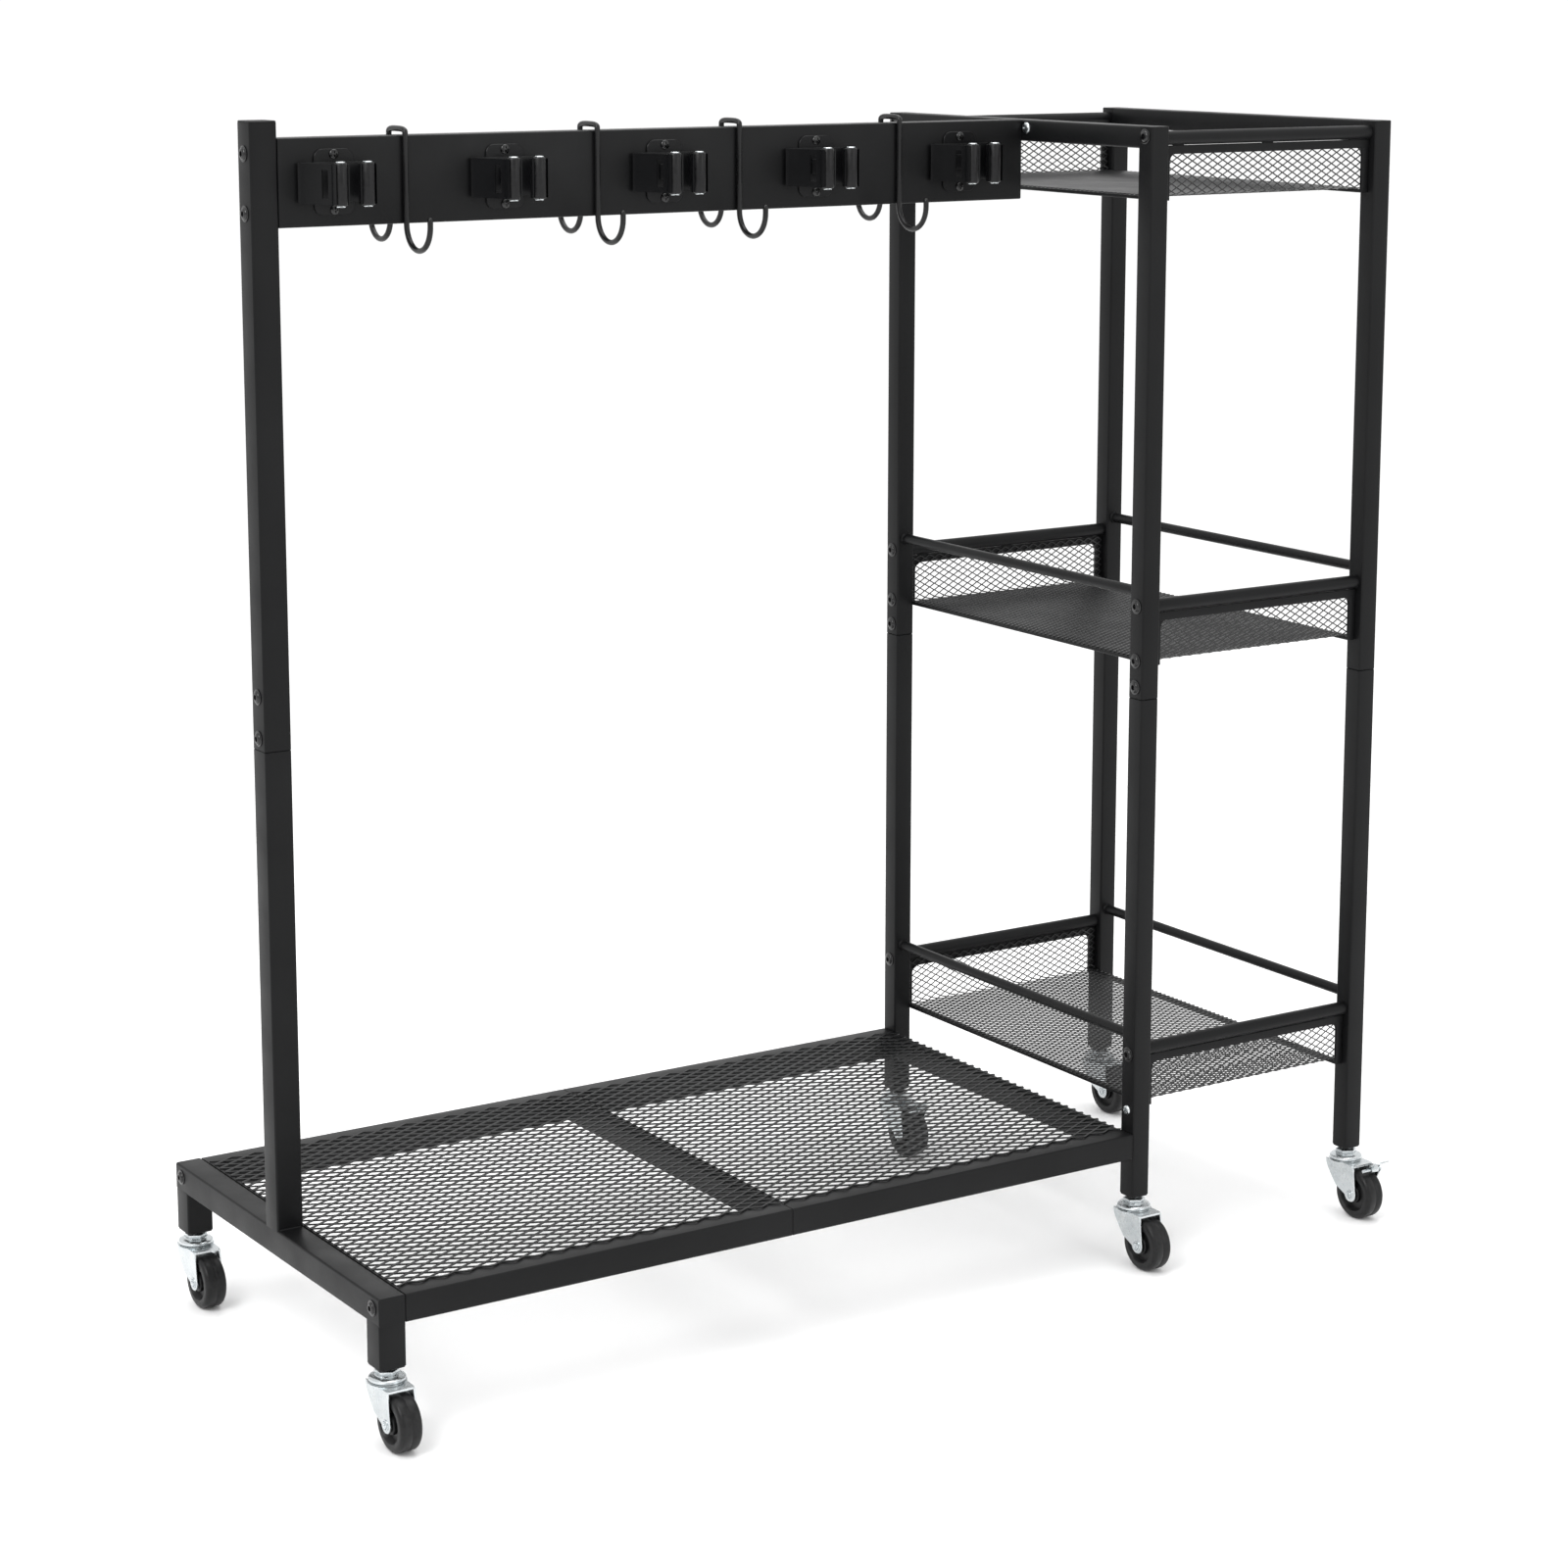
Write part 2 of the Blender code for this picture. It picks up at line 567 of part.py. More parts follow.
def rounded_plate(width, height, radius, x, z):
    """The outline of a plate with round corners, in x and z."""
    points = []
    for quarter in range(4):
        cx = width / 2 - radius if quarter in (0, 3) else radius - width / 2
        cz = height / 2 - radius if quarter < 2 else radius - height / 2
        for step in range(4):
            turn = math.radians(90 * quarter + 30 * step)
            points.append((x + cx + radius * math.cos(turn), z + cz + radius * math.sin(turn)))
    return points


def clip_base(name, x):
    face = RAIL_FRONT - GAP
    outline = rounded_plate(CLIP_PLATE_WIDTH, CLIP_PLATE_HEIGHT, CLIP_ROUND, x, TOOL_MIDDLE)
    plate = extrusion(outline, "y", face - CLIP_PLATE, face)
    half = JAW_SPREAD - 0.0015
    web = box(x - half, x + half, face - CLIP_PLATE - WEB, face - CLIP_PLATE / 2,
              TOOL_MIDDLE - WEB_HEIGHT / 2, TOOL_MIDDLE + WEB_HEIGHT / 2)
    return solid(name, [plate, web], [], CLIP_STEEL)


def clip_jaw(name, x, side):
    """An arm from its root by the rail to the curl that holds a roller; side is -1 for the left jaw."""
    z0, z1 = TOOL_MIDDLE - WEB_HEIGHT / 2, TOOL_MIDDLE + WEB_HEIGHT / 2
    root_y = RAIL_FRONT - GAP - CLIP_PLATE - WEB / 2
    roller = (x + side * ROLLER_SPREAD, RAIL_FRONT - ROLLER_REACH)
    root_x = x + side * JAW_SPREAD
    tip_x = x + side * JAW_TIP_SPREAD
    inward = -side * WEB
    outer = [(root_x, root_y + WEB / 2), (root_x, root_y - 0.004),
             (tip_x, roller[1] + 0.004), (roller[0], roller[1] - 0.002)]
    inner = [(roller[0], roller[1] + 0.001), (tip_x + inward, roller[1] + 0.006),
             (root_x + inward, root_y - 0.003), (root_x + inward, root_y + WEB / 2)]
    outline = outer + inner
    arm = extrusion(outline, "z", z0, z1)
    curl = rod((*roller, z0), (*roller, z1), CURL_DIAMETER)
    half = ROLLER_LENGTH / 2
    core = rod((*roller, TOOL_MIDDLE - half), (*roller, TOOL_MIDDLE + half), ROLLER_DIAMETER)
    return solid(name, [curl, core, arm], [], CLIP_STEEL, math.radians(40))


def clips(root):
    for number, x in enumerate(CLIP_X, start=1):
        attach(clip_base(f"clip_base_{number}", x), root)
        for side, word in ((-1, "left"), (1, "right")):
            hinge = (x + side * JAW_SPREAD, RAIL_FRONT - GAP - CLIP_PLATE - WEB / 2, TOOL_MIDDLE)
            pivot = empty(f"clip_pivot_{number}_{word}", hinge, root)
            attach(clip_jaw(f"clip_jaw_{word}_{number}", x, side), pivot)


# Hooks: one wire over the rail, with a J in front of it and one behind


def arc(centre, radius, start, end, steps):
    """Points of an arc in the y-z plane; the angles are in degrees from +y toward +z."""
    points = []
    for step in range(steps + 1):
        turn = math.radians(start + (end - start) * step / steps)
        points.append((centre[0] + radius * math.cos(turn), centre[1] + radius * math.sin(turn)))
    return points


def hook_route():
    """The wire's centre line in y and z, from the front tip over the rail to the back tip."""
    lie = HOOK_WIRE / 2 + GAP
    front_leg, back_leg = RAIL_FRONT - lie, RAIL_BACK + lie
    front = (front_leg - HOOK_FRONT_RADIUS, TOOL_BOTTOM)
    back = (back_leg + HOOK_BACK_RADIUS, TOOL_BOTTOM + HOOK_BACK_RISE)
    span = (back_leg - front_leg) / 2
    shoulder = TOWER_TOP + 0.002
    rise = HOOK_ARCH + TOWER_TOP - shoulder
    route = [(front[0] - HOOK_FRONT_RADIUS, front[1] + HOOK_TIP)]
    route += arc(front, HOOK_FRONT_RADIUS, 180, 360, 8)
    route.append((front_leg, (front[1] + shoulder) / 2))
    for step in range(9):
        turn = math.pi - math.pi * step / 8
        squash = abs(math.cos(turn)) ** 0.6
        across = math.copysign(span * squash, math.cos(turn))
        route.append((MIDDLE_Y + across, shoulder + rise * math.sin(turn) ** 0.7))
    route.append((back_leg, (back[1] + shoulder) / 2))
    route += arc(back, HOOK_BACK_RADIUS, 180, 360, 8)
    route.append((back[0] + HOOK_BACK_RADIUS, back[1] + HOOK_TIP))
    return route


def hooks(root):
    for number, x in enumerate(HOOK_X, start=1):
        curve = bpy.data.curves.new(f"hook_{number}", "CURVE")
        curve.dimensions = "3D"
        curve.bevel_depth = HOOK_WIRE / 2
        curve.bevel_resolution = 2
        curve.use_fill_caps = True
        route = hook_route()
        spline = curve.splines.new("POLY")
        spline.points.add(len(route) - 1)
        for point, (y, z) in zip(spline.points, route):
            point.co = (0, y - MIDDLE_Y, z - TOWER_TOP, 1)
        curve.materials.append(material(BLACK_WIRE))
        wire = bpy.data.objects.new(f"hook_{number}", curve)
        bpy.context.scene.collection.objects.link(wire)
        wire.parent = root
        wire.location = Vector((x, MIDDLE_Y, TOWER_TOP)) - parent_place(root)


def main():
    clear_scene()
    root = empty("layout", (0, 0, 0), None)
    for obj in [left_end_frame(), left_post_upper(), tool_rail(), *base(), *tower(), *baskets()]:
        attach(obj, root)
    casters(root)
    clips(root)
    hooks(root)
    middle_x = (TOTAL_LENGTH + SIDE_REACH_RIGHT - SIDE_REACH_LEFT) / 2
    middle_y = (DEPTH + SIDE_REACH_RIGHT - FRONT_REACH) / 2
    root.location = (-middle_x, -middle_y, 0)


main()
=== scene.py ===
"""Looks for the rolling tool organizer: powder-coated tubes, expanded metal, clips, hooks and casters."""
import math

import bmesh
import bpy
import numpy as np
from mathutils import Matrix, Vector


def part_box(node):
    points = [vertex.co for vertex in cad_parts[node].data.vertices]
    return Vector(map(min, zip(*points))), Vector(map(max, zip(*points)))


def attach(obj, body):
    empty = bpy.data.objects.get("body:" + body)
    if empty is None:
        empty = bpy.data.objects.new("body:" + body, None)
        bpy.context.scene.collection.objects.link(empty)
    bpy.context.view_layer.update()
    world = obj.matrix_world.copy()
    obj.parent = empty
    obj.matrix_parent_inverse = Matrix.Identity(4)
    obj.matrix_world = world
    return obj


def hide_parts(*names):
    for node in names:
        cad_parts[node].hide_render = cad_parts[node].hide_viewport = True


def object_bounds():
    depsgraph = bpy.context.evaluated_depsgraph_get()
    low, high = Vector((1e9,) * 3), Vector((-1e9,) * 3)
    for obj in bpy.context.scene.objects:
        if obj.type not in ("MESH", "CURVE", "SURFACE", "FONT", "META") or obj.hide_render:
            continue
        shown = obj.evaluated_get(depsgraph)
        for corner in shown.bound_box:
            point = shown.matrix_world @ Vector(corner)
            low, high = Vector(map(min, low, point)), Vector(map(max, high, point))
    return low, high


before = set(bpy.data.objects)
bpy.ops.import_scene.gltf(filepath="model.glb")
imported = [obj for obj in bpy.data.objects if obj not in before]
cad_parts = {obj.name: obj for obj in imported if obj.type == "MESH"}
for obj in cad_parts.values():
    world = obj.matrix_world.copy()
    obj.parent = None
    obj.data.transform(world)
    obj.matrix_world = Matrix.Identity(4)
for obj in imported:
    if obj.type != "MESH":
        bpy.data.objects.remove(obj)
CAD_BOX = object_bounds()

# Driving sizes that the frame's boxes don't give, in metres
WALL_ROUND = 0.0019        # outer corner radius of the square tubes
RAIL_ROUND = 0.0016        # the same of the tool rail
SEAM_BREAK = 0.0004        # chamfer of a tube's end that meets another piece
BASE_BREAK = 0.0005        # chamfer of the base rails' ends
OPEN_BREAK = 0.0006        # chamfer of a tube's end that stays in sight
FLUSH = 0.00005            # a tucked end lies this much under its neighbour's faces
DECK_DIAMOND = (0.0227, 0.0121)      # long way and short way of one diamond
DECK_BOND = (0.0018, 0.0008)         # half the length and half the width of a bond
DECK_STRAND = (0.0010, 0.0003)       # thickness of the metal, and lift of a twisted strand's edge
BASKET_DIAMOND = (0.0122, 0.0068)
BASKET_BOND = (0.00115, 0.0005)
BASKET_STRAND = (0.0007, 0.0002)
MESH_INSET = 0.0006        # the basket's metal lies this far inside the box of the CAD's thicker sheet
MESH_BEND = 0.004          # radius of the bend between a basket's floor and its walls
BOLT_HEAD = 0.0052         # radius of a button head
PLACES = ("front_left", "back_left", "front_middle", "back_middle", "front_right", "back_right")
BRAKED = ("back_middle", "front_right")
LEVELS = ("bottom", "middle", "top")
SIDES = {"left": -1, "right": 1}

X = Vector((1, 0, 0))
Y = Vector((0, 1, 0))
Z = Vector((0, 0, 1))


# Materials

NOISE_SPAN = (0.3, 0.7)    # most of a noise texture's values lie in here
TINT_SPAN = (0.35, 0.65)   # where a tint starts to leave its dark colour, and reaches its light one


def principled(name, colour, roughness, metallic=0.0, specular=0.5):
    """A Principled material, and the handles that the texture helpers below need."""
    mat = bpy.data.materials.new(name)
    mat.use_nodes = True
    tree = mat.node_tree
    shader = tree.nodes["Principled BSDF"]
    shader.inputs["Base Color"].default_value = (*colour, 1)
    shader.inputs["Roughness"].default_value = roughness
    shader.inputs["Metallic"].default_value = metallic
    shader.inputs["Specular IOR Level"].default_value = specular
    mat.diffuse_color = (*colour, 1)
    return mat, tree, shader


def noise(tree, scale, detail=2.0, distortion=0.0):
    """A noise value in object space, at so many features to the metre."""
    place = tree.nodes.new("ShaderNodeTexCoord")
    made = tree.nodes.new("ShaderNodeTexNoise")
    made.inputs["Scale"].default_value = scale
    made.inputs["Detail"].default_value = detail
    made.inputs["Distortion"].default_value = distortion
    tree.links.new(place.outputs["Object"], made.inputs["Vector"])
    return made.outputs["Fac"]


def spread(tree, value, low, high):
    """Maps a noise value onto the range low to high."""
    span = tree.nodes.new("ShaderNodeMapRange")
    span.inputs["From Min"].default_value, span.inputs["From Max"].default_value = NOISE_SPAN
    span.inputs["To Min"].default_value = low
    span.inputs["To Max"].default_value = high
    tree.links.new(value, span.inputs["Value"])
    return span.outputs["Result"]


def tint(tree, value, dark, light):
    """A colour between dark and light, steered by a noise value."""
    ramp = tree.nodes.new("ShaderNodeValToRGB")
    for stop, position, colour in zip(ramp.color_ramp.elements, TINT_SPAN, (dark, light)):
        stop.position = position
        stop.color = (*colour, 1)
    tree.links.new(value, ramp.inputs["Fac"])
    return ramp.outputs["Color"]


def bump(tree, shader, value, distance):
    """Raises the surface by distance metres where the value is 1."""
    made = tree.nodes.new("ShaderNodeBump")
    made.inputs["Distance"].default_value = distance
    made.inputs["Strength"].default_value = 1.0
    tree.links.new(value, made.inputs["Height"])
    tree.links.new(made.outputs["Normal"], shader.inputs["Normal"])


def powder_coat(name, dark, light, roughness, specular=0.16, grain=0.00006):
    """Satin powder coat: orange peel, faint cloudiness, and gloss that varies a little."""
    mat, tree, shader = principled(name, light, roughness, specular=specular)
    cloud = noise(tree, 9.0, 4.0)
    speck = noise(tree, 1500.0, 2.0)
    mixed = tree.nodes.new("ShaderNodeMix")
    mixed.inputs["Factor"].default_value = 0.35
    tree.links.new(cloud, mixed.inputs["A"])
    tree.links.new(speck, mixed.inputs["B"])
    tree.links.new(tint(tree, mixed.outputs["Result"], dark, light), shader.inputs["Base Color"])
    tree.links.new(spread(tree, noise(tree, 22.0, 5.0), roughness - 0.05, roughness + 0.07),
                   shader.inputs["Roughness"])
    bump(tree, shader, noise(tree, 620.0, 2.0), grain)
    return mat


def zinc_plate(name, roughness=0.24):
    """Bright zinc: a fine grain, cloudy brightness and a slightly blue cast."""
    mat, tree, shader = principled(name, (0.60, 0.63, 0.64), roughness, metallic=1.0)
    cloud = noise(tree, 60.0, 3.0, distortion=0.4)
    tree.links.new(tint(tree, cloud, (0.56, 0.595, 0.61), (0.63, 0.655, 0.665)), shader.inputs["Base Color"])
    tree.links.new(spread(tree, noise(tree, 160.0, 3.0), roughness - 0.03, roughness + 0.05),
                   shader.inputs["Roughness"])
    bump(tree, shader, noise(tree, 500.0, 2.0), 0.000004)
    return mat


def moulded(name, dark, light, roughness, grain):
    """Moulded plastic or rubber: a fine matte grain with duller scuffed patches."""
    mat, tree, shader = principled(name, light, roughness, specular=0.26)
    scuff = noise(tree, 160.0, 6.0, distortion=1.5)
    tree.links.new(tint(tree, scuff, dark, light), shader.inputs["Base Color"])
    tree.links.new(spread(tree, scuff, roughness - 0.08, roughness + 0.14), shader.inputs["Roughness"])
    bump(tree, shader, noise(tree, 2200.0, 3.0), grain)
    return mat


COAT = powder_coat("black_powder_coat", (0.0030, 0.0031, 0.0034), (0.0058, 0.0060, 0.0064), 0.40)
# The expanded metal has the frame's black powder coat, but its colour is about twice as light as the
# frame's. That extra lightness is painted sheen, standing in for the light that the strands' tops catch.
MESH_COAT_PAINTED_SHEEN = powder_coat("black_mesh_coat_painted_sheen", (0.006, 0.0062, 0.0066), (0.012, 0.0123, 0.0128), 0.34, 0.40)
WIRE_COAT = powder_coat("black_wire_coat", (0.0034, 0.0034, 0.0036), (0.0075, 0.0076, 0.0080), 0.30, 0.30)
CLIP_COAT = powder_coat("black_clip_coat", (0.0026, 0.0027, 0.0030), (0.0052, 0.0054, 0.0060), 0.32, 0.18)
BOLT_COAT = powder_coat("black_oxide", (0.002, 0.002, 0.0022), (0.005, 0.005, 0.0055), 0.22, 0.50)
ZINC = zinc_plate("bright_zinc", 0.26)
STEEL = zinc_plate("bright_steel", 0.18)
WHEEL = moulded("wheel_plastic", (0.0040, 0.0040, 0.0043), (0.0095, 0.0096, 0.0100), 0.36, 0.00002)
RUBBER = moulded("roller_rubber", (0.0026, 0.0026, 0.0029), (0.0060, 0.0060, 0.0066), 0.36, 0.00003)
CAP = moulded("black_cap_plastic", (0.0035, 0.0035, 0.0038), (0.0075, 0.0075, 0.0080), 0.48, 0.00003)


# Shape helpers. Those whose first argument is bm add closed shells to it.

def skin(bm, rings):
    """Joins rings of points, each with the same count, into one closed shell."""
    loops = [[bm.verts.new(p) for p in ring] for ring in rings]
    count = len(loops[0])
    for low, high in zip(loops, loops[1:]):
        for i in range(count):
            j = (i + 1) % count
            bm.faces.new((low[i], low[j], high[j], high[i]))
    bm.faces.new(list(reversed(loops[0])))
    bm.faces.new(loops[-1])


def rounded_rectangle(a0, a1, b0, b1, radius, steps=4):
    """Points round a rectangle with rounded corners, counter-clockwise."""
    corners = ((a1, b0, -90), (a1, b1, 0), (a0, b1, 90), (a0, b0, 180))
    points = []
    for a, b, start in corners:
        ca = a - radius if a == a1 else a + radius
        cb = b - radius if b == b1 else b + radius
        for step in range(steps + 1):
            turn = math.radians(start + 90 * step / steps)
            points.append((ca + radius * math.cos(turn), cb + radius * math.sin(turn)))
    return points


def bar(bm, low, high, axis, radius, chamfer=0.0, tuck=(0.0, 0.0)):
    """A tube or strip along an axis (0, 1 or 2) with rounded long edges.

    Its ends are broken by chamfer, or run on by tuck into the piece that they are welded to."""
    across = [i for i in range(3) if i != axis]
    if axis == 1:
        across.reverse()
    a, b = across

    def ring(along, inset):
        inner = max(radius - inset, 0.0002)
        outline = rounded_rectangle(low[a] + inset, high[a] - inset, low[b] + inset, high[b] - inset, inner)
        points = []
        for pa, pb in outline:
            place = [0.0, 0.0, 0.0]
            place[axis], place[a], place[b] = along, pa, pb
            points.append(place)
        return points

    rings = []
    for place, out, run in ((low[axis], -1, tuck[0]), (high[axis], 1, tuck[1])):
        if run:
            end = [ring(place + out * run, FLUSH), ring(place, FLUSH), ring(place, 0)]
        elif chamfer:
            end = [ring(place, chamfer), ring(place - out * chamfer, 0)]
        else:
            end = [ring(place, 0)]
        rings += end if out < 0 else end[::-1]
    skin(bm, rings)


def frame_of(direction):
    """Two unit vectors that make a right-handed set with direction."""
    helper = X if abs(direction.x) < 0.9 else Y
    side = direction.cross(helper).normalized()
    return side, direction.cross(side).normalized()


def hexagon(turn):
    """Radius of a hexagon whose flats are 1 away, at an angle."""
    return 1 / math.cos((turn % (math.pi / 3)) - math.pi / 6)


def cross_slot(turn, arm=0.2):
    """Radius of a cross-shaped recess whose arms are 1 long and arm either side of their middle."""
    turn = (turn + math.pi / 4) % (math.pi / 2) - math.pi / 4
    return min(1 / math.cos(turn), arm / max(abs(math.sin(turn)), 1e-6), arm * 9)


def lathe(bm, profile, origin, direction, sides=32):
    """Turns (radius, height) or (radius, height, shape) steps about an axis; the shape scales the radius."""
    side, up = frame_of(direction)
    rings = []
    for step in profile:
        radius, height = step[:2]
        shape = step[2] if len(step) > 2 else None
        ring = []
        for i in range(sides):
            turn = math.tau * i / sides
            r = radius * (shape(turn) if shape else 1)
            spoke = side * (r * math.cos(turn)) + up * (r * math.sin(turn))
            ring.append(origin + direction * height + spoke)
        rings.append(ring)
    skin(bm, rings)


def rod(bm, start, end, radius, sides=24):
    """A straight round bar with flat ends."""
    direction = (end - start).normalized()
    lathe(bm, [(radius, 0), (radius, (end - start).length)], start, direction, sides)


def sweep(bm, route, radius, across, sides=14):
    """A round-ended wire along a flat route; across is the normal of the route's plane."""
    rings = []
    last = len(route) - 1
    for i, point in enumerate(route):
        along = (route[min(i + 1, last)] - route[max(i - 1, 0)]).normalized()
        out = along.cross(across).normalized()
        ring = []
        for k in range(sides):
            turn = math.tau * k / sides
            ring.append((out, turn, point, along))
        rings.append(ring)

    def build(ring, scale, shift):
        return [
            point + along * shift + (out * math.cos(turn) + across * math.sin(turn)) * (radius * scale)
            for out, turn, point, along in ring
        ]

    caps = [(math.cos(a), math.sin(a)) for a in (math.radians(d) for d in (30, 55, 78))]
    first = [build(rings[0], c, -radius * s) for c, s in reversed(caps)]
    last_rings = [build(rings[-1], c, radius * s) for c, s in caps]
    skin(bm, first + [build(ring, 1, 0) for ring in rings] + last_rings)


def sheet(bm, route, low, high, thickness):
    """A strip of sheet metal that stands from low to high in z and follows a route in plan."""
    half = thickness / 2
    last = len(route) - 1
    left, right = [], []
    for i, point in enumerate(route):
        before = (point - route[max(i - 1, 0)]).normalized() if i else (route[1] - point).normalized()
        after = (route[min(i + 1, last)] - point).normalized() if i < last else before
        along = (before + after).normalized()
        normal = Vector((-along.y, along.x, 0))
        reach = half / max(0.4, math.sqrt((1 + before.dot(after)) / 2))
        left.append(point + normal * reach)
        right.append(point - normal * reach)
    rings = []
    for a, b in zip(left, right):
        rings.append([Vector((a.x, a.y, low)), Vector((b.x, b.y, low)),
                      Vector((b.x, b.y, high)), Vector((a.x, a.y, high))])
    skin(bm, rings)


def plate(bm, outline, start, step):
    """A flat outline of points, given thickness by the vector step."""
    ring = [start + point for point in outline]
    skin(bm, [ring, [point + step for point in ring]])


def piece(name, bm, material, body, replaces=(), sharp=35):
    """Turns a bmesh into a piece that rides on a body."""
    bmesh.ops.recalc_face_normals(bm, faces=bm.faces)
    mesh = bpy.data.meshes.new(name)
    bm.to_mesh(mesh)
    bm.free()
    return finish_piece(name, mesh, material, body, replaces, sharp)


def finish_piece(name, mesh, material, body, replaces=(), sharp=35):
    """Shades a mesh, smooth below the angle sharp, and makes it a piece that rides on a body."""
    mesh.materials.append(material)
    mesh.shade_smooth()
    mesh.set_sharp_from_angle(angle=math.radians(sharp))
    obj = bpy.data.objects.new(name, mesh)
    bpy.context.scene.collection.objects.link(obj)
    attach(obj, body)
    if replaces:
        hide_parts(*replaces)
    return obj


# Places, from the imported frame

END_LOW, END_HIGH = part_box("left_end_frame")
POST_LOW, POST_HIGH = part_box("left_post_upper")
RAIL_LOW, RAIL_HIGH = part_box("tool_rail")
LEG = POST_HIGH.x - POST_LOW.x
LADDER = {side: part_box(f"ladder_{side}_lower") for side in SIDES}
UPPER = {side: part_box(f"ladder_{side}_upper") for side in SIDES}
POST = LADDER["left"][1].x - LADDER["left"][0].x
FRONT, BACK = END_LOW.y, END_HIGH.y
MIDDLE = (FRONT + BACK) / 2
DECK_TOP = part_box("base_frame_left")[1].z
SEAM_LEFT = POST_LOW.z
SEAM_TOWER = UPPER["left"][0].z
GAP = 0.0003               # between two pieces that meet but aren't welded
WELD_IN = 0.0015           # how far a guard rod's end runs into its post
RAIL_MIDDLE = (RAIL_LOW.z + RAIL_HIGH.z) / 2
BASKET = {level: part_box(f"basket_frame_{level}") for level in LEVELS}
TUBE = 0.0065              # radius of the basket tubes
TUBE_Z = {level: BASKET[level][1].z - TUBE for level in LEVELS}
GUARD = 0.005              # radius of the guard rods
GUARD_LIFT = 0.013         # a guard rod's middle lies this much over the basket tubes' middle
SCREW = 0.0045             # radius of a cross screw's head
CAP_HEIGHT = 0.0015        # how far the left post's cap stands over its tube


# Frame tubes

def left_end():
    x0, x1 = END_LOW.x, END_LOW.x + LEG
    bm = bmesh.new()
    bar(bm, (x0, FRONT, DECK_TOP - LEG), (x1, BACK, DECK_TOP), 1, WALL_ROUND, OPEN_BREAK)
    for y in (FRONT, BACK - LEG):
        bar(bm, (x0, y, END_LOW.z), (x1, y + LEG, DECK_TOP - LEG), 2, WALL_ROUND, SEAM_BREAK,
            (0, WALL_ROUND))
    bar(bm, (x0, POST_LOW.y, DECK_TOP), (x1, POST_HIGH.y, SEAM_LEFT - GAP), 2, WALL_ROUND, SEAM_BREAK,
        (WALL_ROUND, 0))
    weld_ring(bm, END_LOW.x, POST_LOW.y, LEG, DECK_TOP)
    piece("left_end_tubes", bm, COAT, "frame", ["left_end_frame"])

    bm = bmesh.new()
    bar(bm, POST_LOW, POST_HIGH - Z * CAP_HEIGHT, 2, WALL_ROUND, SEAM_BREAK)
    piece("left_post_upper_tube", bm, COAT, "frame", ["left_post_upper"])
    bm = bmesh.new()
    tube_cap(bm, POST_LOW.x, POST_LOW.y, LEG, POST_HIGH.z)
    piece("left_post_cap", bm, CAP, "frame")


def tube_cap(bm, x, y, size, top):
    """A plastic plug in a tube's end: a flange with a softly domed top."""
    middle = Vector((x + size / 2, y + size / 2, 0))

    def ring(inset, z):
        half = size / 2 - inset
        outline = rounded_rectangle(-half, half, -half, half, max(WALL_ROUND - inset / 2, 0.0004))
        return [middle + Vector((a, b, z)) for a, b in outline]

    skin(bm, [ring(0.0018, top - 0.008), ring(0.0018, top - 0.0014), ring(0.0001, top - 0.0014),
              ring(0.0001, top - 0.0007), ring(0.0008, top - 0.0001), ring(0.004, top)])


def weld_ring(bm, x, y, size, z):
    """A fillet of weld round the foot of an upright square tube that stands on a rail of its own width."""
    for side in (-1, 1):
        edge = y if side < 0 else y + size
        start = Vector((x + WALL_ROUND, edge, z))
        end = Vector((x + size - WALL_ROUND, edge, z))
        bead(bm, start, end, 0.0012)


def bead(bm, start, end, radius, steps=9):
    """A weld bead: a rod whose thickness ripples along its length."""
    direction = (end - start).normalized()
    length = (end - start).length
    profile = [(radius * 0.3, 0)]
    for i in range(1, steps * 2):
        ripple = 0.86 + 0.14 * (i % 2)
        profile.append((radius * ripple, length * i / (steps * 2)))
    profile.append((radius * 0.3, length))
    lathe(bm, profile, start, direction, 10)


def tool_rail():
    bm = bmesh.new()
    bar(bm, RAIL_LOW, RAIL_HIGH, 0, RAIL_ROUND, SEAM_BREAK)
    piece("tool_rail_tube", bm, COAT, "frame", ["tool_rail"])


def ladders():
    """The tower's two sides, each with its posts, its top rail and two guard rods with weld collars."""
    for side in SIDES:
        low, high = LADDER[side]
        top = UPPER[side][1].z
        x0, x1 = low.x, high.x
        upper, lower = bmesh.new(), bmesh.new()
        for y in (FRONT, BACK - POST):
            bar(lower, (x0, y, low.z), (x1, y + POST, SEAM_TOWER - GAP), 2, WALL_ROUND, SEAM_BREAK)
            bar(upper, (x0, y, SEAM_TOWER), (x1, y + POST, top), 2, WALL_ROUND, OPEN_BREAK)
        bar(upper, (x0, FRONT + POST, top - POST), (x1, BACK - POST, top), 1, WALL_ROUND,
            tuck=(WALL_ROUND, WALL_ROUND))
        for bm, level in ((lower, "bottom"), (upper, "middle")):
            z = TUBE_Z[level] + GUARD_LIFT
            start = Vector(((x0 + x1) / 2, FRONT + POST - WELD_IN, z))
            end = Vector(((x0 + x1) / 2, BACK - POST + WELD_IN, z))
            rod(bm, start, end, GUARD)
            for y, out in ((FRONT + POST, 1), (BACK - POST, -1)):
                foot = Vector(((x0 + x1) / 2, y - out * 0.0004, z))
                lathe(bm, [(GUARD + 0.0013, 0), (GUARD + 0.0011, 0.0007), (GUARD + 0.0003, 0.0020),
                           (GUARD - 0.0004, 0.0022)], foot, Y * out, 20)
        piece(f"ladder_{side}_lower_tubes", lower, COAT, "frame",
              [f"ladder_{side}_lower"])
        piece(f"ladder_{side}_upper_tubes", upper, COAT, "frame",
              [f"ladder_{side}_upper"])


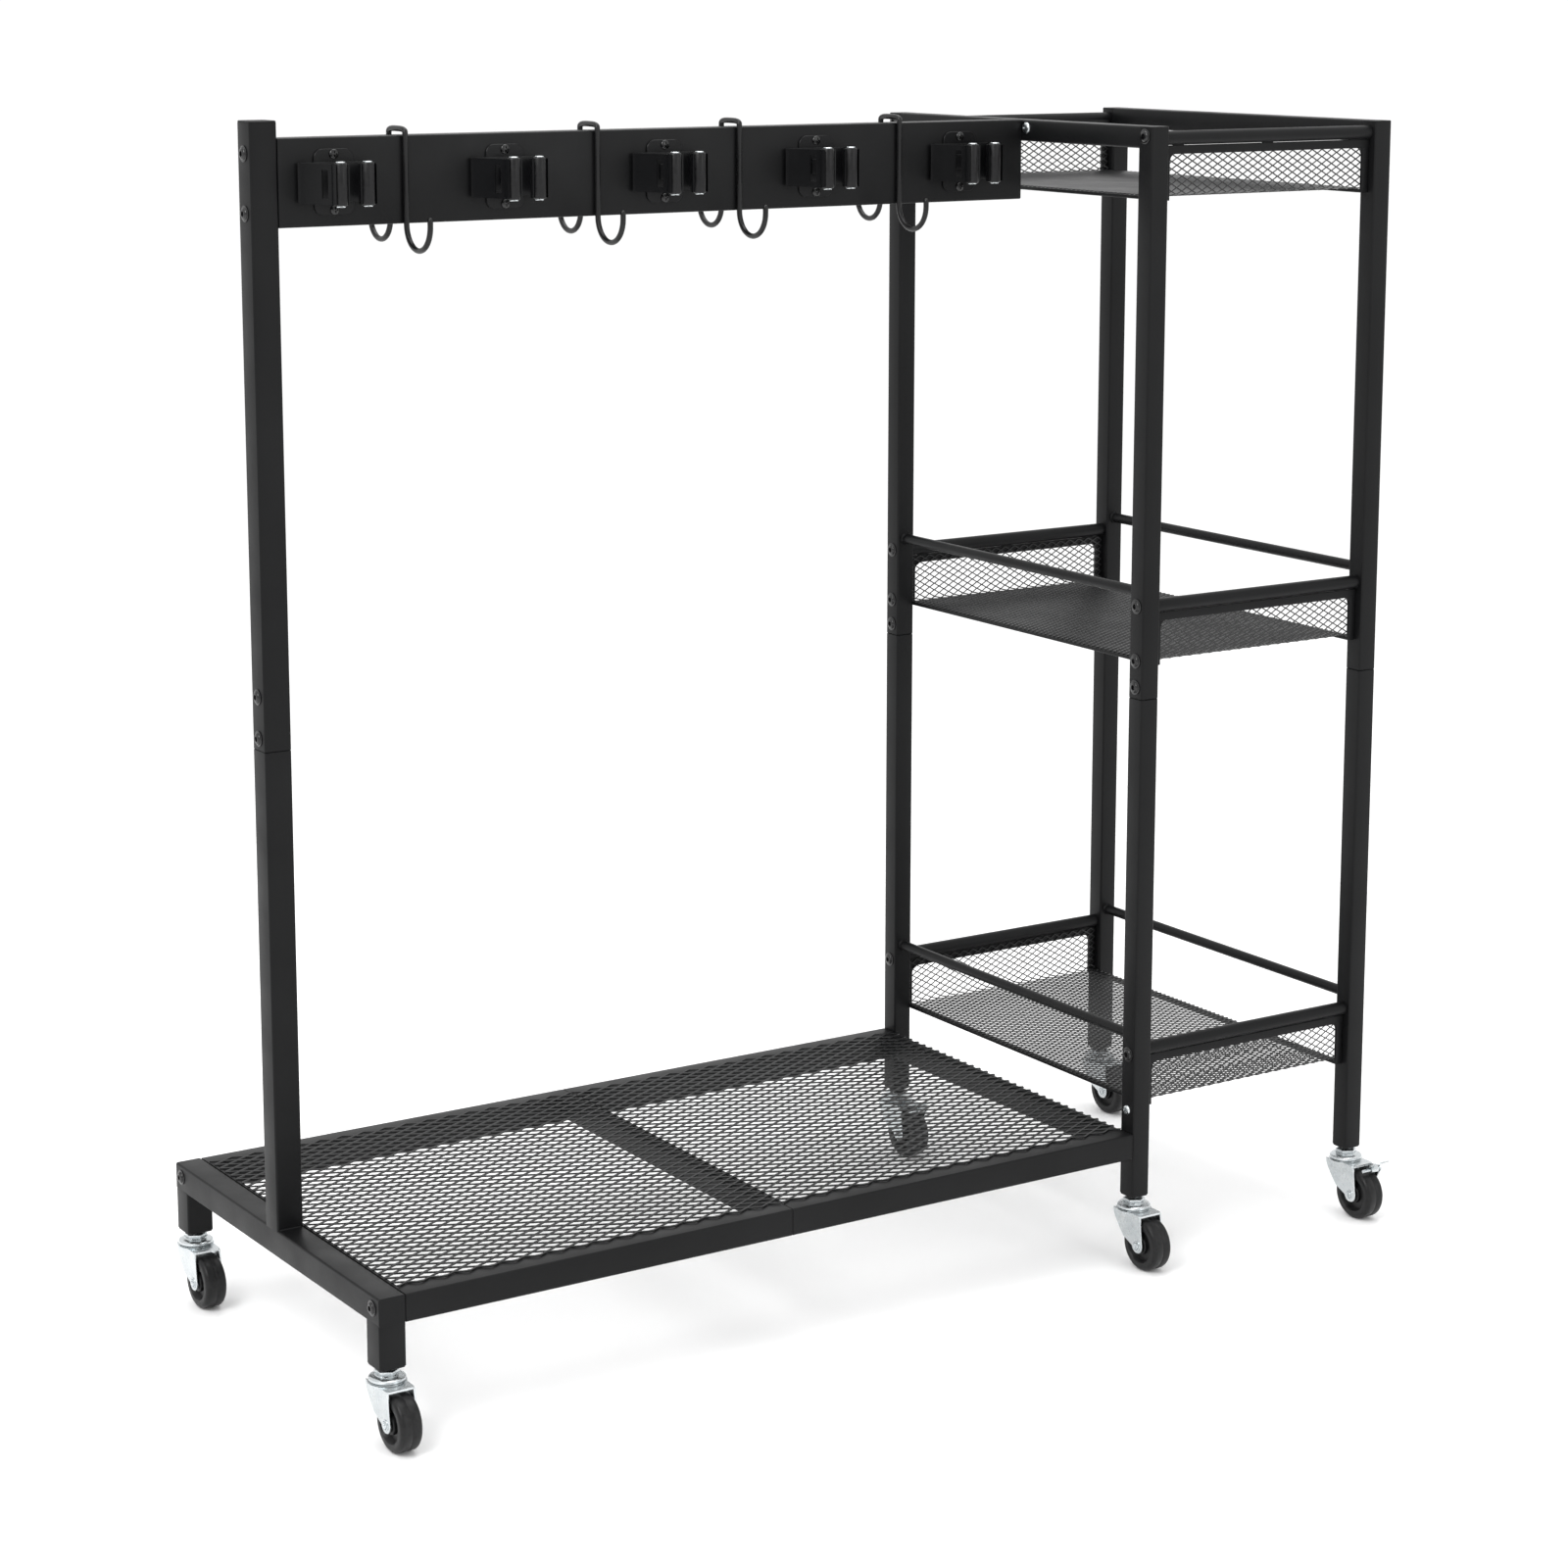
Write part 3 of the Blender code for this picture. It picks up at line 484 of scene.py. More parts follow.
def base_frames():
    """Front and back rails, a cross rail at the right end, and a thin strip under the mesh's left end."""
    cross_width, cross_height, cross_round = 0.015, 0.020, 0.0015
    strip_width, strip_height, strip_round, strip_rise = 0.003, 0.012, 0.0005, 0.0002
    tuck = (WALL_ROUND, WALL_ROUND)
    for side in SIDES:
        low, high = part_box(f"base_frame_{side}")
        bm = bmesh.new()
        for y in (FRONT, BACK - LEG):
            bar(bm, (low.x, y, low.z), (high.x, y + LEG, high.z), 0, WALL_ROUND, BASE_BREAK)
        bar(bm, (high.x - cross_width, FRONT + LEG, high.z - cross_height),
            (high.x, BACK - LEG, high.z), 1, cross_round, tuck=tuck)
        bar(bm, (low.x, FRONT + LEG, high.z - strip_height),
            (low.x + strip_width, BACK - LEG, high.z + strip_rise), 1, strip_round, tuck=tuck)
        piece(f"base_{side}_tubes", bm, COAT, "frame", [f"base_frame_{side}"])


# Expanded metal

def diamond_lattice(length, width, diamond, bond):
    """Flat expanded metal: corner points (u, v, tilt) and four-sided faces, u the long way of a diamond.

    Every lattice point is a bond, a small rhombus, and a strand leaves each of its four sides. tilt is 1
    on a bond's upper corner and -1 on its lower one, because a cut strand lies twisted."""
    cols = round(length / diamond[0] * 2)
    rows = round(width / diamond[1] * 2)
    du, dv = length / cols, width / rows
    index = {}
    points, faces = [], []
    for j in range(rows + 1):
        for i in range(cols + 1):
            if (i + j) % 2:
                continue
            index[i, j] = len(points)
            u, v = i * du, j * dv
            edge_u0, edge_u1 = max(u - bond[0], 0), min(u + bond[0], length)
            edge_v0, edge_v1 = max(v - bond[1], 0), min(v + bond[1], width)
            points += [(edge_u1, v, 0), (u, edge_v1, 1), (edge_u0, v, 0), (u, edge_v0, -1)]
    for (i, j), k in index.items():
        corner = [k, k + 1, k + 2, k + 3]
        if 0 < i < cols and 0 < j < rows:
            faces.append(corner)
        elif 0 < i < cols:
            faces.append([k, k + 1, k + 2] if j == 0 else [k + 2, k + 3, k])
        elif 0 < j < rows:
            faces.append([k, k + 1, k + 3] if i == 0 else [k + 1, k + 2, k + 3])
        right_up, left_up = index.get((i + 1, j + 1)), index.get((i - 1, j + 1))
        if right_up is not None:
            faces.append([k, right_up + 3, right_up + 2, k + 1])
        if left_up is not None:
            faces.append([k + 1, left_up, left_up + 3, k + 2])
    return np.array(points), faces


def thicken(points, faces, thickness, twist, path):
    """A closed mesh from a flat lattice: both skins and the walls between them, laid along path(u, v, w)."""
    count = len(points)
    lifted = points[:, 2] * twist
    u, v = points[:, 0], points[:, 1]
    top = path(u, v, lifted + thickness / 2)
    bottom = path(u, v, lifted - thickness / 2)
    edges = {}
    for face in faces:
        for a, b in zip(face, face[1:] + face[:1]):
            edges[a, b] = True
    skins = [list(face) for face in faces]
    skins += [[a + count for a in reversed(face)] for face in faces]
    skins += [[b, a, a + count, b + count] for a, b in edges if (b, a) not in edges]
    mesh = bpy.data.meshes.new("expanded_metal")
    mesh.from_pydata(np.vstack((top, bottom)).tolist(), [], skins)
    mesh.update()
    bm = bmesh.new()
    bm.from_mesh(mesh)
    loose = [v for v in bm.verts if not v.link_faces]
    bmesh.ops.delete(bm, geom=loose, context="VERTS")
    bmesh.ops.recalc_face_normals(bm, faces=bm.faces)
    bm.to_mesh(mesh)
    bm.free()
    return mesh


def decks():
    for side in SIDES:
        low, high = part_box(f"base_mesh_{side}")
        points, faces = diamond_lattice(high.x - low.x, high.y - low.y, DECK_DIAMOND, DECK_BOND)
        middle = (low.z + high.z) / 2 + 0.0001

        def path(u, v, w, low=low, middle=middle):
            return np.stack((low.x + u, low.y + v, middle + w), 1)

        mesh = thicken(points, faces, *DECK_STRAND, path)
        finish_piece(f"deck_mesh_{side}", mesh, MESH_COAT_PAINTED_SHEEN, "frame",
                     [f"base_mesh_{side}"], 20)


def trough_path(low, high, wall, bend):
    """Maps a lattice onto a trough: up the front wall, round a bend, along the floor and up the back."""
    depth = high.y - low.y
    arc = bend * math.pi / 2
    stops = [wall - bend, wall - bend + arc, wall + depth - 3 * bend + arc]
    stops.append(stops[2] + arc)

    def path(u, v, w):
        y = np.empty_like(v)
        z = np.empty_like(v)
        up_y, up_z = np.zeros_like(v), np.zeros_like(v)
        m = v <= stops[0]
        y[m], z[m], up_y[m] = low.y, high.z - v[m], 1
        m = (v > stops[0]) & (v <= stops[1])
        t = (v[m] - stops[0]) / bend
        y[m], z[m] = low.y + bend - bend * np.cos(t), low.z + bend - bend * np.sin(t)
        up_y[m], up_z[m] = np.cos(t), np.sin(t)
        m = (v > stops[1]) & (v <= stops[2])
        y[m], z[m], up_z[m] = low.y + bend + v[m] - stops[1], low.z, 1
        m = (v > stops[2]) & (v <= stops[3])
        t = (v[m] - stops[2]) / bend
        y[m], z[m] = high.y - bend + bend * np.sin(t), low.z + bend - bend * np.cos(t)
        up_y[m], up_z[m] = -np.sin(t), np.cos(t)
        m = v > stops[3]
        y[m], z[m], up_y[m] = high.y, low.z + bend + v[m] - stops[3], -1
        return np.stack((low.x + u, y + up_y * w, z + up_z * w), 1)

    return path, stops[3] + wall - bend


def baskets():
    for level in LEVELS:
        low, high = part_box(f"basket_mesh_{level}")
        inset = Vector((MESH_INSET, MESH_INSET, MESH_INSET))
        path, developed = trough_path(low + inset, high - inset, high.z - low.z - MESH_INSET, MESH_BEND)
        length = high.x - low.x - 2 * MESH_INSET
        points, faces = diamond_lattice(length, developed, BASKET_DIAMOND, BASKET_BOND)
        mesh = thicken(points, faces, *BASKET_STRAND, path)
        finish_piece(f"basket_{level}_mesh", mesh, MESH_COAT_PAINTED_SHEEN, "frame",
                     [f"basket_mesh_{level}"], 20)
        basket_rails(level)


def basket_rails(level):
    low, high = BASKET[level]
    z = TUBE_Z[level]
    strip, width, spacer, gap = 0.003, 0.008, 0.012, 0.0003
    half, thin = strip / 2, strip * 0.4
    strip_top = z - TUBE - gap
    sides = (FRONT + POST / 2, BACK - POST / 2)
    bm = bmesh.new()
    for y in sides:
        rod(bm, Vector((low.x, y, z)), Vector((high.x, y, z)), TUBE, 28)
        bar(bm, (low.x, y - half, strip_top - width), (high.x, y + half, strip_top), 0, 0.0006)
        for x in (low.x + spacer, (low.x + high.x - spacer) / 2, high.x - 2 * spacer):
            bar(bm, (x, y - thin, strip_top - strip), (x + spacer, y + thin, z - TUBE / 2), 0, 0.0004)
            lathe(bm, [(0.0010, 0), (0.0013, spacer * 0.2), (0.0013, spacer * 0.8), (0.0010, spacer)],
                  Vector((x, y, z - TUBE)), X, 10)
        for x in (low.x, high.x - width):
            bar(bm, (x, y - half, low.z + strip), (x + width, y + half, strip_top - width), 2, 0.0006,
                tuck=(0.0006, 0.0006))
            inner = 1 if x == low.x else -1
            gusset(bm, x + width if inner > 0 else x, inner, y, strip_top - width, strip * 0.96)
    for x in (low.x, high.x - width):
        bar(bm, (x, sides[0] - half, low.z), (x + width, sides[1] + half, low.z + strip), 1, 0.0006, 0.0003)
    piece(f"basket_{level}_frame", bm, COAT, "frame", [f"basket_frame_{level}"])


def gusset(bm, x, out, y, z, thickness, radius=0.006, steps=6):
    """The rounded inner corner between a basket's top strip and its end strip."""
    outline = [Vector((0, 0, 0))]
    for step in range(steps + 1):
        turn = math.radians(90 * step / steps)
        outline.append(Vector((out * radius * (1 - math.sin(turn)), 0, -radius * (1 - math.cos(turn)))))
    plate(bm, outline, Vector((x, y - thickness / 2, z + 0.0001)), Y * thickness)


# Fasteners

def button_bolt(bm, place, direction):
    """A button-head bolt with a hex socket, on a washer."""
    r = BOLT_HEAD
    lathe(bm, [
        (r * 1.32, -0.0004), (r * 1.34, 0.0001), (r * 1.34, 0.0007), (r * 1.28, 0.0009),
        (r * 1.02, 0.0009), (r, 0.0013), (r * 0.93, 0.0020), (r * 0.76, 0.0026), (r * 0.56, 0.0028),
        (r * 0.44, 0.0028, hexagon), (r * 0.42, 0.0012, hexagon),
    ], place, direction, 24)


def cross_screw(bm, place, direction, radius=SCREW):
    """A pan-head screw with a cross recess."""
    lathe(bm, [
        (radius, -0.0004), (radius, 0.0006), (radius * 0.93, 0.0014), (radius * 0.72, 0.0021),
        (radius * 0.55, 0.0023, cross_slot), (radius * 0.42, 0.0010, cross_slot),
    ], place, direction, 32)


def bolts():
    """Bolt heads on the tubes' left faces, with their likely mates on the tower's right faces."""
    corner_y = (FRONT + POST / 2, BACK - POST / 2)
    low = DECK_TOP - LEG / 2 + 0.0015
    levels = [TUBE_Z["top"] + 0.002, TUBE_Z["middle"] + 0.001, SEAM_TOWER + 0.036, SEAM_TOWER + 0.011,
              TUBE_Z["bottom"] - 0.003]
    bm = bmesh.new()
    for y in corner_y:
        for z in levels:
            button_bolt(bm, Vector((LADDER["left"][0].x, y, z)), -X)
            button_bolt(bm, Vector((LADDER["right"][1].x, y, z)), X)
        button_bolt(bm, Vector((LADDER["left"][1].x, y, low)), X)
    for y in (FRONT + LEG / 2, BACK - LEG / 2):
        button_bolt(bm, Vector((END_LOW.x, y, low)), -X)
    for z in (SEAM_LEFT + 0.047, SEAM_LEFT + 0.0105, RAIL_MIDDLE + 0.025, RAIL_MIDDLE - 0.025):
        button_bolt(bm, Vector((END_LOW.x, MIDDLE, z)), -X)
    piece("frame_bolts", bm, BOLT_COAT, "frame")
    bm = bmesh.new()
    cross_screw(bm, Vector((LADDER["left"][0].x, FRONT + POST / 2, DECK_TOP + 0.022)), -X)
    cross_screw(bm, Vector((LADDER["left"][0].x, RAIL_LOW.y - 0.0075, RAIL_HIGH.z - 0.0075)), -X, 0.0053)
    piece("zinc_screws", bm, ZINC, "frame")


# Clips

def clips():
    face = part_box("clip_base_1")[1].y
    for number in range(1, 6):
        low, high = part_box(f"clip_base_{number}")
        middle = Vector(((low.x + high.x) / 2, face, RAIL_MIDDLE))
        clip_back(number, middle, (high.z - low.z) / 2)
        for side, sign in SIDES.items():
            clip_arm(number, side, sign, middle)


def clip_back(number, middle, half_height):
    """The rounded plate on the rail, the web of the spring across it with its boss, and two screws."""
    half_width, corner, thick, edge = 0.0185, 0.008, 0.0015, 0.0004
    web, spread_x = 0.017, 0.0325
    boss_x, boss_share = 0.006, 0.4
    screw_out, screw_radius = 0.0236, 0.0044
    bm = bmesh.new()
    outlines = []
    for inset, step in ((0, 0), (0, thick * 0.7), (edge, thick)):
        outline = rounded_rectangle(-half_width + inset, half_width - inset, -half_height + inset,
                                    half_height - inset, corner - inset, 6)
        outlines.append([middle + Vector((a, -step, b)) for a, b in outline])
    skin(bm, outlines)
    bar(bm, middle + Vector((-spread_x, -thick - 0.0012, -web)),
        middle + Vector((spread_x, -thick + 0.0001, web)), 0, 0.0004)
    bar(bm, middle + Vector((-boss_x, -thick - 0.0026, -web * boss_share)),
        middle + Vector((boss_x, -thick - 0.0010, web * boss_share)), 0, 0.0005)
    piece(f"clip_{number}_back", bm, CLIP_COAT, "frame", [f"clip_base_{number}"])
    bm = bmesh.new()
    for sign in SIDES.values():
        cross_screw(bm, middle + Vector((0, -thick + 0.0003, sign * screw_out)), -Y, screw_radius)
    piece(f"clip_{number}_screws", bm, BOLT_COAT, "frame")


def clip_arm(number, side, sign, middle):
    """A spring arm from its bend by the plate to the curl behind its roller, with a slot near the curl."""
    web, thick = 0.017, 0.0012
    spread_x, tip_x, roller_x, roller_y = 0.034, 0.0203, 0.0126, -0.0397
    roller = middle + Vector((sign * roller_x, roller_y, 0))
    root = middle + Vector((sign * spread_x, -0.0022, 0))
    tip = middle + Vector((sign * tip_x, roller_y + 0.004, 0))
    curl, slot, edge_band = 0.0071, (0.76, 0.95), 0.005

    def on_arm(share):
        return root.lerp(tip, share)

    bend = [root + Vector((-sign * 0.0022, 0.0002, 0)), root + Vector((-sign * 0.0008, -0.0003, 0)),
            root + Vector((0, -0.0016, 0))]
    start, end = (205, -15) if sign < 0 else (-25, 195)
    wrap = []
    for step in range(15):
        turn = math.radians(start + (end - start) * step / 14)
        wrap.append(roller + Vector((curl * math.cos(turn), curl * math.sin(turn), 0)))
    low, high = middle.z - web, middle.z + web
    bm = bmesh.new()
    sheet(bm, bend + [on_arm(0.12), on_arm(slot[0])], low, high, thick)
    sheet(bm, [on_arm(slot[0]), on_arm(slot[1])], low, low + edge_band, thick)
    sheet(bm, [on_arm(slot[0]), on_arm(slot[1])], high - edge_band, high, thick)
    sheet(bm, [on_arm(slot[1]), tip] + wrap, low, high, thick)
    body = f"jaw_{side}_{number}"
    piece(f"clip_{number}_{side}_spring", bm, CLIP_COAT, body,
          [f"clip_jaw_{side}_{number}"], 40)
    half = 0.0178
    bm = bmesh.new()
    lathe(bm, [(0.0050, -half), (0.0056, -half + 0.0003), (0.0060, -half + 0.0012), (0.0060, half - 0.0012),
               (0.0056, half - 0.0003), (0.0050, half)], roller, Z, 28)
    piece(f"clip_{number}_{side}_roller", bm, RUBBER, body)
    bm = bmesh.new()
    for end_sign in (-1, 1):
        lathe(bm, [(0.0038, half - 0.0006), (0.0042, half), (0.0042, half + 0.0007),
                   (0.0036, half + 0.0012)], roller, Z * end_sign, 24)
    piece(f"clip_{number}_{side}_pin", bm, STEEL, body)


# Hooks

def hooks():
    """Double hooks, each one wire: a J before the rail, an arch over it and a smaller J behind it."""
    wire, front_r, back_r, tip = 0.0025, 0.022, 0.019, 0.005
    back_rise, straight, shoulder_drop, shoulder_rise = 0.003, 0.012, 0.006, 0.002
    for number in range(1, 5):
        low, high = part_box(f"hook_{number}")
        x = (low.x + high.x) / 2
        lie = wire + GAP
        front_leg, back_leg = RAIL_LOW.y - lie, RAIL_HIGH.y + lie
        front = Vector((front_leg - front_r, RAIL_LOW.z))
        back = Vector((back_leg + back_r, RAIL_LOW.z + back_rise))
        flat = [(front.x - front_r, front.y + tip), (front.x - front_r, front.y + tip / 2)]
        flat += [(front.x + front_r * math.cos(a), front.y + front_r * math.sin(a)) for a in half_turn(26)]
        flat += [(front_leg, front.y + straight), (front_leg, RAIL_MIDDLE)]
        flat.append((front_leg, RAIL_HIGH.z - shoulder_drop))
        shoulder, top = RAIL_HIGH.z + shoulder_rise, high.z - wire
        for step in range(25):
            turn = math.pi - math.pi * step / 24
            across = (back_leg - front_leg) / 2 * math.copysign(abs(math.cos(turn)) ** 0.6, math.cos(turn))
            flat.append((MIDDLE + across, shoulder + (top - shoulder) * max(math.sin(turn), 0) ** 0.7))
        flat += [(back_leg, RAIL_HIGH.z - shoulder_drop), (back_leg, RAIL_MIDDLE)]
        flat.append((back_leg, back.y + straight))
        flat += [(back.x + back_r * math.cos(a), back.y + back_r * math.sin(a)) for a in half_turn(26)]
        flat += [(back.x + back_r, back.y + tip / 2), (back.x + back_r, back.y + tip)]
        bm = bmesh.new()
        sweep(bm, [Vector((x, y, z)) for y, z in flat], wire, X)
        piece(f"hook_{number}_wire", bm, WIRE_COAT, f"hook_{number}",
              [f"hook_{number}"], 60)


def half_turn(steps):
    """Angles from straight left, round under a centre, to straight right."""
    return [math.pi + math.pi * step / steps for step in range(steps + 1)]


# Casters

WHEEL_R = 0.025
TREAD = 0.0105             # half the wheel's width
PLATE = 0.0018             # thickness of the fork's sheet
INNER = TREAD + 0.001      # half the room between a fork's two plates
CROWN_Z = 2 * WHEEL_R + 0.003        # underside of the fork's crown


def casters():
    for place in PLACES:
        low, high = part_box(f"caster_stem_{place}")
        wheel_low, wheel_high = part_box(f"caster_wheel_{place}")
        stem = Vector(((low.x + high.x) / 2, (low.y + high.y) / 2, 0))
        axle = (wheel_low + wheel_high) / 2
        caster_stem(place, stem, LEG if place.endswith("left") else POST)
        caster_fork(place, stem, axle)
        caster_wheel(place, axle)
        if place in BRAKED:
            brake_pedal(place, axle)


def caster_stem(place, stem, tube):
    """The ball race, the hexagon nut and the stem over it, and the plug in the tube that holds them."""
    foot = LADDER["left"][0].z
    race = CROWN_Z + 0.0025
    bm = bmesh.new()
    lathe(bm, [
        (0.0130, race), (0.0152, race + 0.0002), (0.0160, race + 0.0012), (0.0160, race + 0.0030),
        (0.0150, race + 0.0040), (0.0125, race + 0.0046), (0.0105, race + 0.0050), (0.0098, race + 0.0058),
        (0.0085, race + 0.0062),
    ], stem, Z, 40)
    lathe(bm, [
        (0.0088, race + 0.0054, hexagon), (0.0091, race + 0.0060, hexagon),
        (0.0091, race + 0.0092, hexagon), (0.0082, race + 0.0101), (0.0070, race + 0.0106),
    ], stem, Z, 36)
    lathe(bm, [(0.0060, race + 0.0095), (0.0060, foot - 0.0008)], stem, Z, 24)
    piece(f"caster_{place}_stem", bm, ZINC, "frame", [f"caster_stem_{place}"])
    bm = bmesh.new()
    half = tube / 2 - 0.0002

    def ring(inset, z):
        outline = rounded_rectangle(-half + inset, half - inset, -half + inset, half - inset, WALL_ROUND)
        return [stem + Vector((a, b, z)) for a, b in outline]

    skin(bm, [ring(0.0014, foot - 0.0016), ring(0.0004, foot - 0.0010), ring(0.0002, foot - 0.0001)])
    piece(f"caster_{place}_plug", bm, CAP, "frame")


def caster_fork(place, stem, axle):
    """The crown plate with its raised ring, the two side plates, and the riveted axle."""
    top = CROWN_Z + PLATE
    front = axle.y - 0.004
    outer = INNER + PLATE
    crown, corner = 0.017, 0.002
    bm = bmesh.new()
    outline = []
    for step in range(21):
        turn = math.radians(-38 + 256 * step / 20)
        outline.append(Vector((crown * math.cos(turn), stem.y + crown * math.sin(turn), 0)))
    half = outer - FLUSH
    outline += [Vector((-half, front + corner, 0)), Vector((-half + corner, front, 0)),
                Vector((half - corner, front, 0)), Vector((half, front + corner, 0))]
    plate(bm, outline, Vector((stem.x, 0, CROWN_Z)), Z * PLATE)
    lathe(bm, [(0.0150, top - 0.0002), (0.0150, top + 0.0004), (0.0140, top + 0.0006)],
          Vector((stem.x, stem.y, 0)), Z, 36)
    for sign in SIDES.values():
        ear = place in BRAKED and sign > 0
        fork_plate(bm, stem, axle, sign, front, ear)
    piece(f"caster_{place}_fork", bm, ZINC, f"fork_{place}", [f"caster_fork_{place}"], 40)

    bm = bmesh.new()
    rod(bm, axle - X * outer, axle + X * outer, 0.0028)
    for sign in SIDES.values():
        lathe(bm, [(0.0050, outer - 0.0002), (0.0050, outer + 0.0004), (0.0046, outer + 0.0007),
                   (0.0040, outer + 0.0007), (0.0037, outer + 0.0001), (0.0034, outer + 0.0001),
                   (0.0032, outer + 0.0012), (0.0028, outer + 0.0015), (0.0022, outer + 0.0013),
                   (0.0018, outer + 0.0003), (0.0008, outer + 0.0001)], axle, X * sign, 28)
    piece(f"caster_{place}_axle", bm, STEEL, f"fork_{place}")


def fork_plate(bm, stem, axle, sign, front, ear):
    """One side of a fork: an outline in y and z, with the round end about the axle."""
    boss = 0.0075
    points = []
    for step in range(13):
        turn = math.radians(-190 + 175 * step / 12)
        points.append((axle.y + boss * math.cos(turn), axle.z + boss * math.sin(turn)))
    points += [(stem.y - 0.001, axle.z + 0.0045), (stem.y + 0.006, axle.z + 0.0125),
               (stem.y + 0.0115, CROWN_Z - 0.0080), (stem.y + 0.0140, CROWN_Z - 0.003),
               (stem.y + 0.0145, CROWN_Z + 0.0010)]
    points.append((front, CROWN_Z + 0.0010))
    if ear:
        pin = pedal_pin(axle)
        for step in range(7):
            turn = math.radians(80 + 170 * step / 6)
            points.append((pin.y + 0.003 * math.cos(turn), pin.z + 0.003 * math.sin(turn)))
        points.append((axle.y - boss - 0.001, axle.z + boss + 0.003))
    edge = 0.0005
    rings = []
    shift = INNER if sign > 0 else -INNER - PLATE
    middle = (sum(p[0] for p in points) / len(points), sum(p[1] for p in points) / len(points))
    for x, inset in ((0, edge), (edge, 0), (PLATE - edge, 0), (PLATE, edge)):
        ring = []
        for y, z in points:
            pull = Vector((middle[0] - y, middle[1] - z))
            pull = pull.normalized() * inset
            ring.append(Vector((stem.x + shift + x, y + pull.x, z + pull.y)))
        rings.append(ring)
    skin(bm, rings)


def caster_wheel(place, axle):
    """A solid wheel: rounded tread with its mould line, a deep recess each side, a hub and a bushing."""
    r, h = WHEEL_R, TREAD
    round_r, round_h = 0.0046, 0.0042
    half = [(0.0048, h - 0.0005), (0.0082, h - 0.0005), (0.0090, h - 0.0012), (0.0094, h - 0.0042),
            (0.0150, h - 0.0048), (0.0158, h - 0.0040), (0.0166, h - 0.0008), (0.0174, h)]
    for step in range(9):
        turn = math.radians(90 * step / 8)
        half.append((r - round_r + round_r * math.sin(turn), h - round_h + round_h * math.cos(turn)))
    half += [(r, 0.0008), (r - 0.0003, 0.0003)]
    bm = bmesh.new()
    ringed(bm, half + [(a, -b) for a, b in reversed(half)], axle, 56)
    piece(f"caster_{place}_tyre", bm, WHEEL, f"wheel_{place}",
          [f"caster_wheel_{place}"])
    bm = bmesh.new()
    bush = [(0.0033, h - 0.0001), (0.0044, h - 0.0001), (0.0048, h - 0.0006)]
    ringed(bm, bush + [(a, -b) for a, b in reversed(bush)], axle, 28)
    piece(f"caster_{place}_bushing", bm, STEEL, f"wheel_{place}")


def ringed(bm, profile, centre, sides):
    """A closed profile of (radius, x) turned about X through centre, as a ring with a hole."""
    loops = []
    for radius, across in profile:
        loops.append([
            bm.verts.new(centre + Vector((across, radius * math.cos(t), radius * math.sin(t))))
            for t in (math.tau * i / sides for i in range(sides))
        ])
    for low, high in zip(loops, loops[1:] + loops[:1]):
        for i in range(sides):
            j = (i + 1) % sides
            bm.faces.new((low[i], low[j], high[j], high[i]))


def pedal_pin(axle):
    """Middle of the pin that a brake pedal turns on."""
    return Vector((axle.x, axle.y - 0.014, axle.z + 0.027))


def brake_pedal(place, axle):
    """A stamped pedal: a sleeve round the pin and a flat plate that rises outward, with three ribs across
    it.
    """
    pin = pedal_pin(axle)
    tilt = math.radians(30)
    out = Vector((0, -math.cos(tilt), math.sin(tilt)))
    up = Vector((0, math.sin(tilt), math.cos(tilt)))
    half, sleeve, bore, thick, reach = 0.0095, 0.0030, 0.0019, 0.0012, 0.0215
    bm = bmesh.new()
    ringed(bm, [(bore, 0.0005), (sleeve, 0.0005), (sleeve, half), (bore, half)], pin, 24)
    outline = []
    for along, across in ((0, 0.45), (0.009, 0.62), (0.014, 0.95), (0.0205, 1.0), (0.0218, 0.8)):
        outline.append((along, across * half))
    rings = []
    for lift in (sleeve - thick, sleeve):
        ring = [pin + out * a + X * b + up * lift for a, b in outline]
        ring += [pin + out * a - X * b + up * lift for a, b in reversed(outline)]
        rings.append(ring)
    skin(bm, rings)
    for share in (0.45, 0.62, 0.79):
        centre = pin + out * (reach * share) + up * (sleeve - 0.0001)
        rod(bm, centre - X * half * 0.7, centre + X * half * 0.7, 0.0005, 10)
    piece(f"brake_{place}_pedal", bm, ZINC, f"pedal_{place}", [f"brake_pedal_{place}"])
    bm = bmesh.new()
    rod(bm, pin - X * (half - 0.0003), pin + X * (INNER + 0.001), 0.0016, 16)
    piece(f"brake_{place}_pin", bm, STEEL, f"fork_{place}")


# The room and the camera

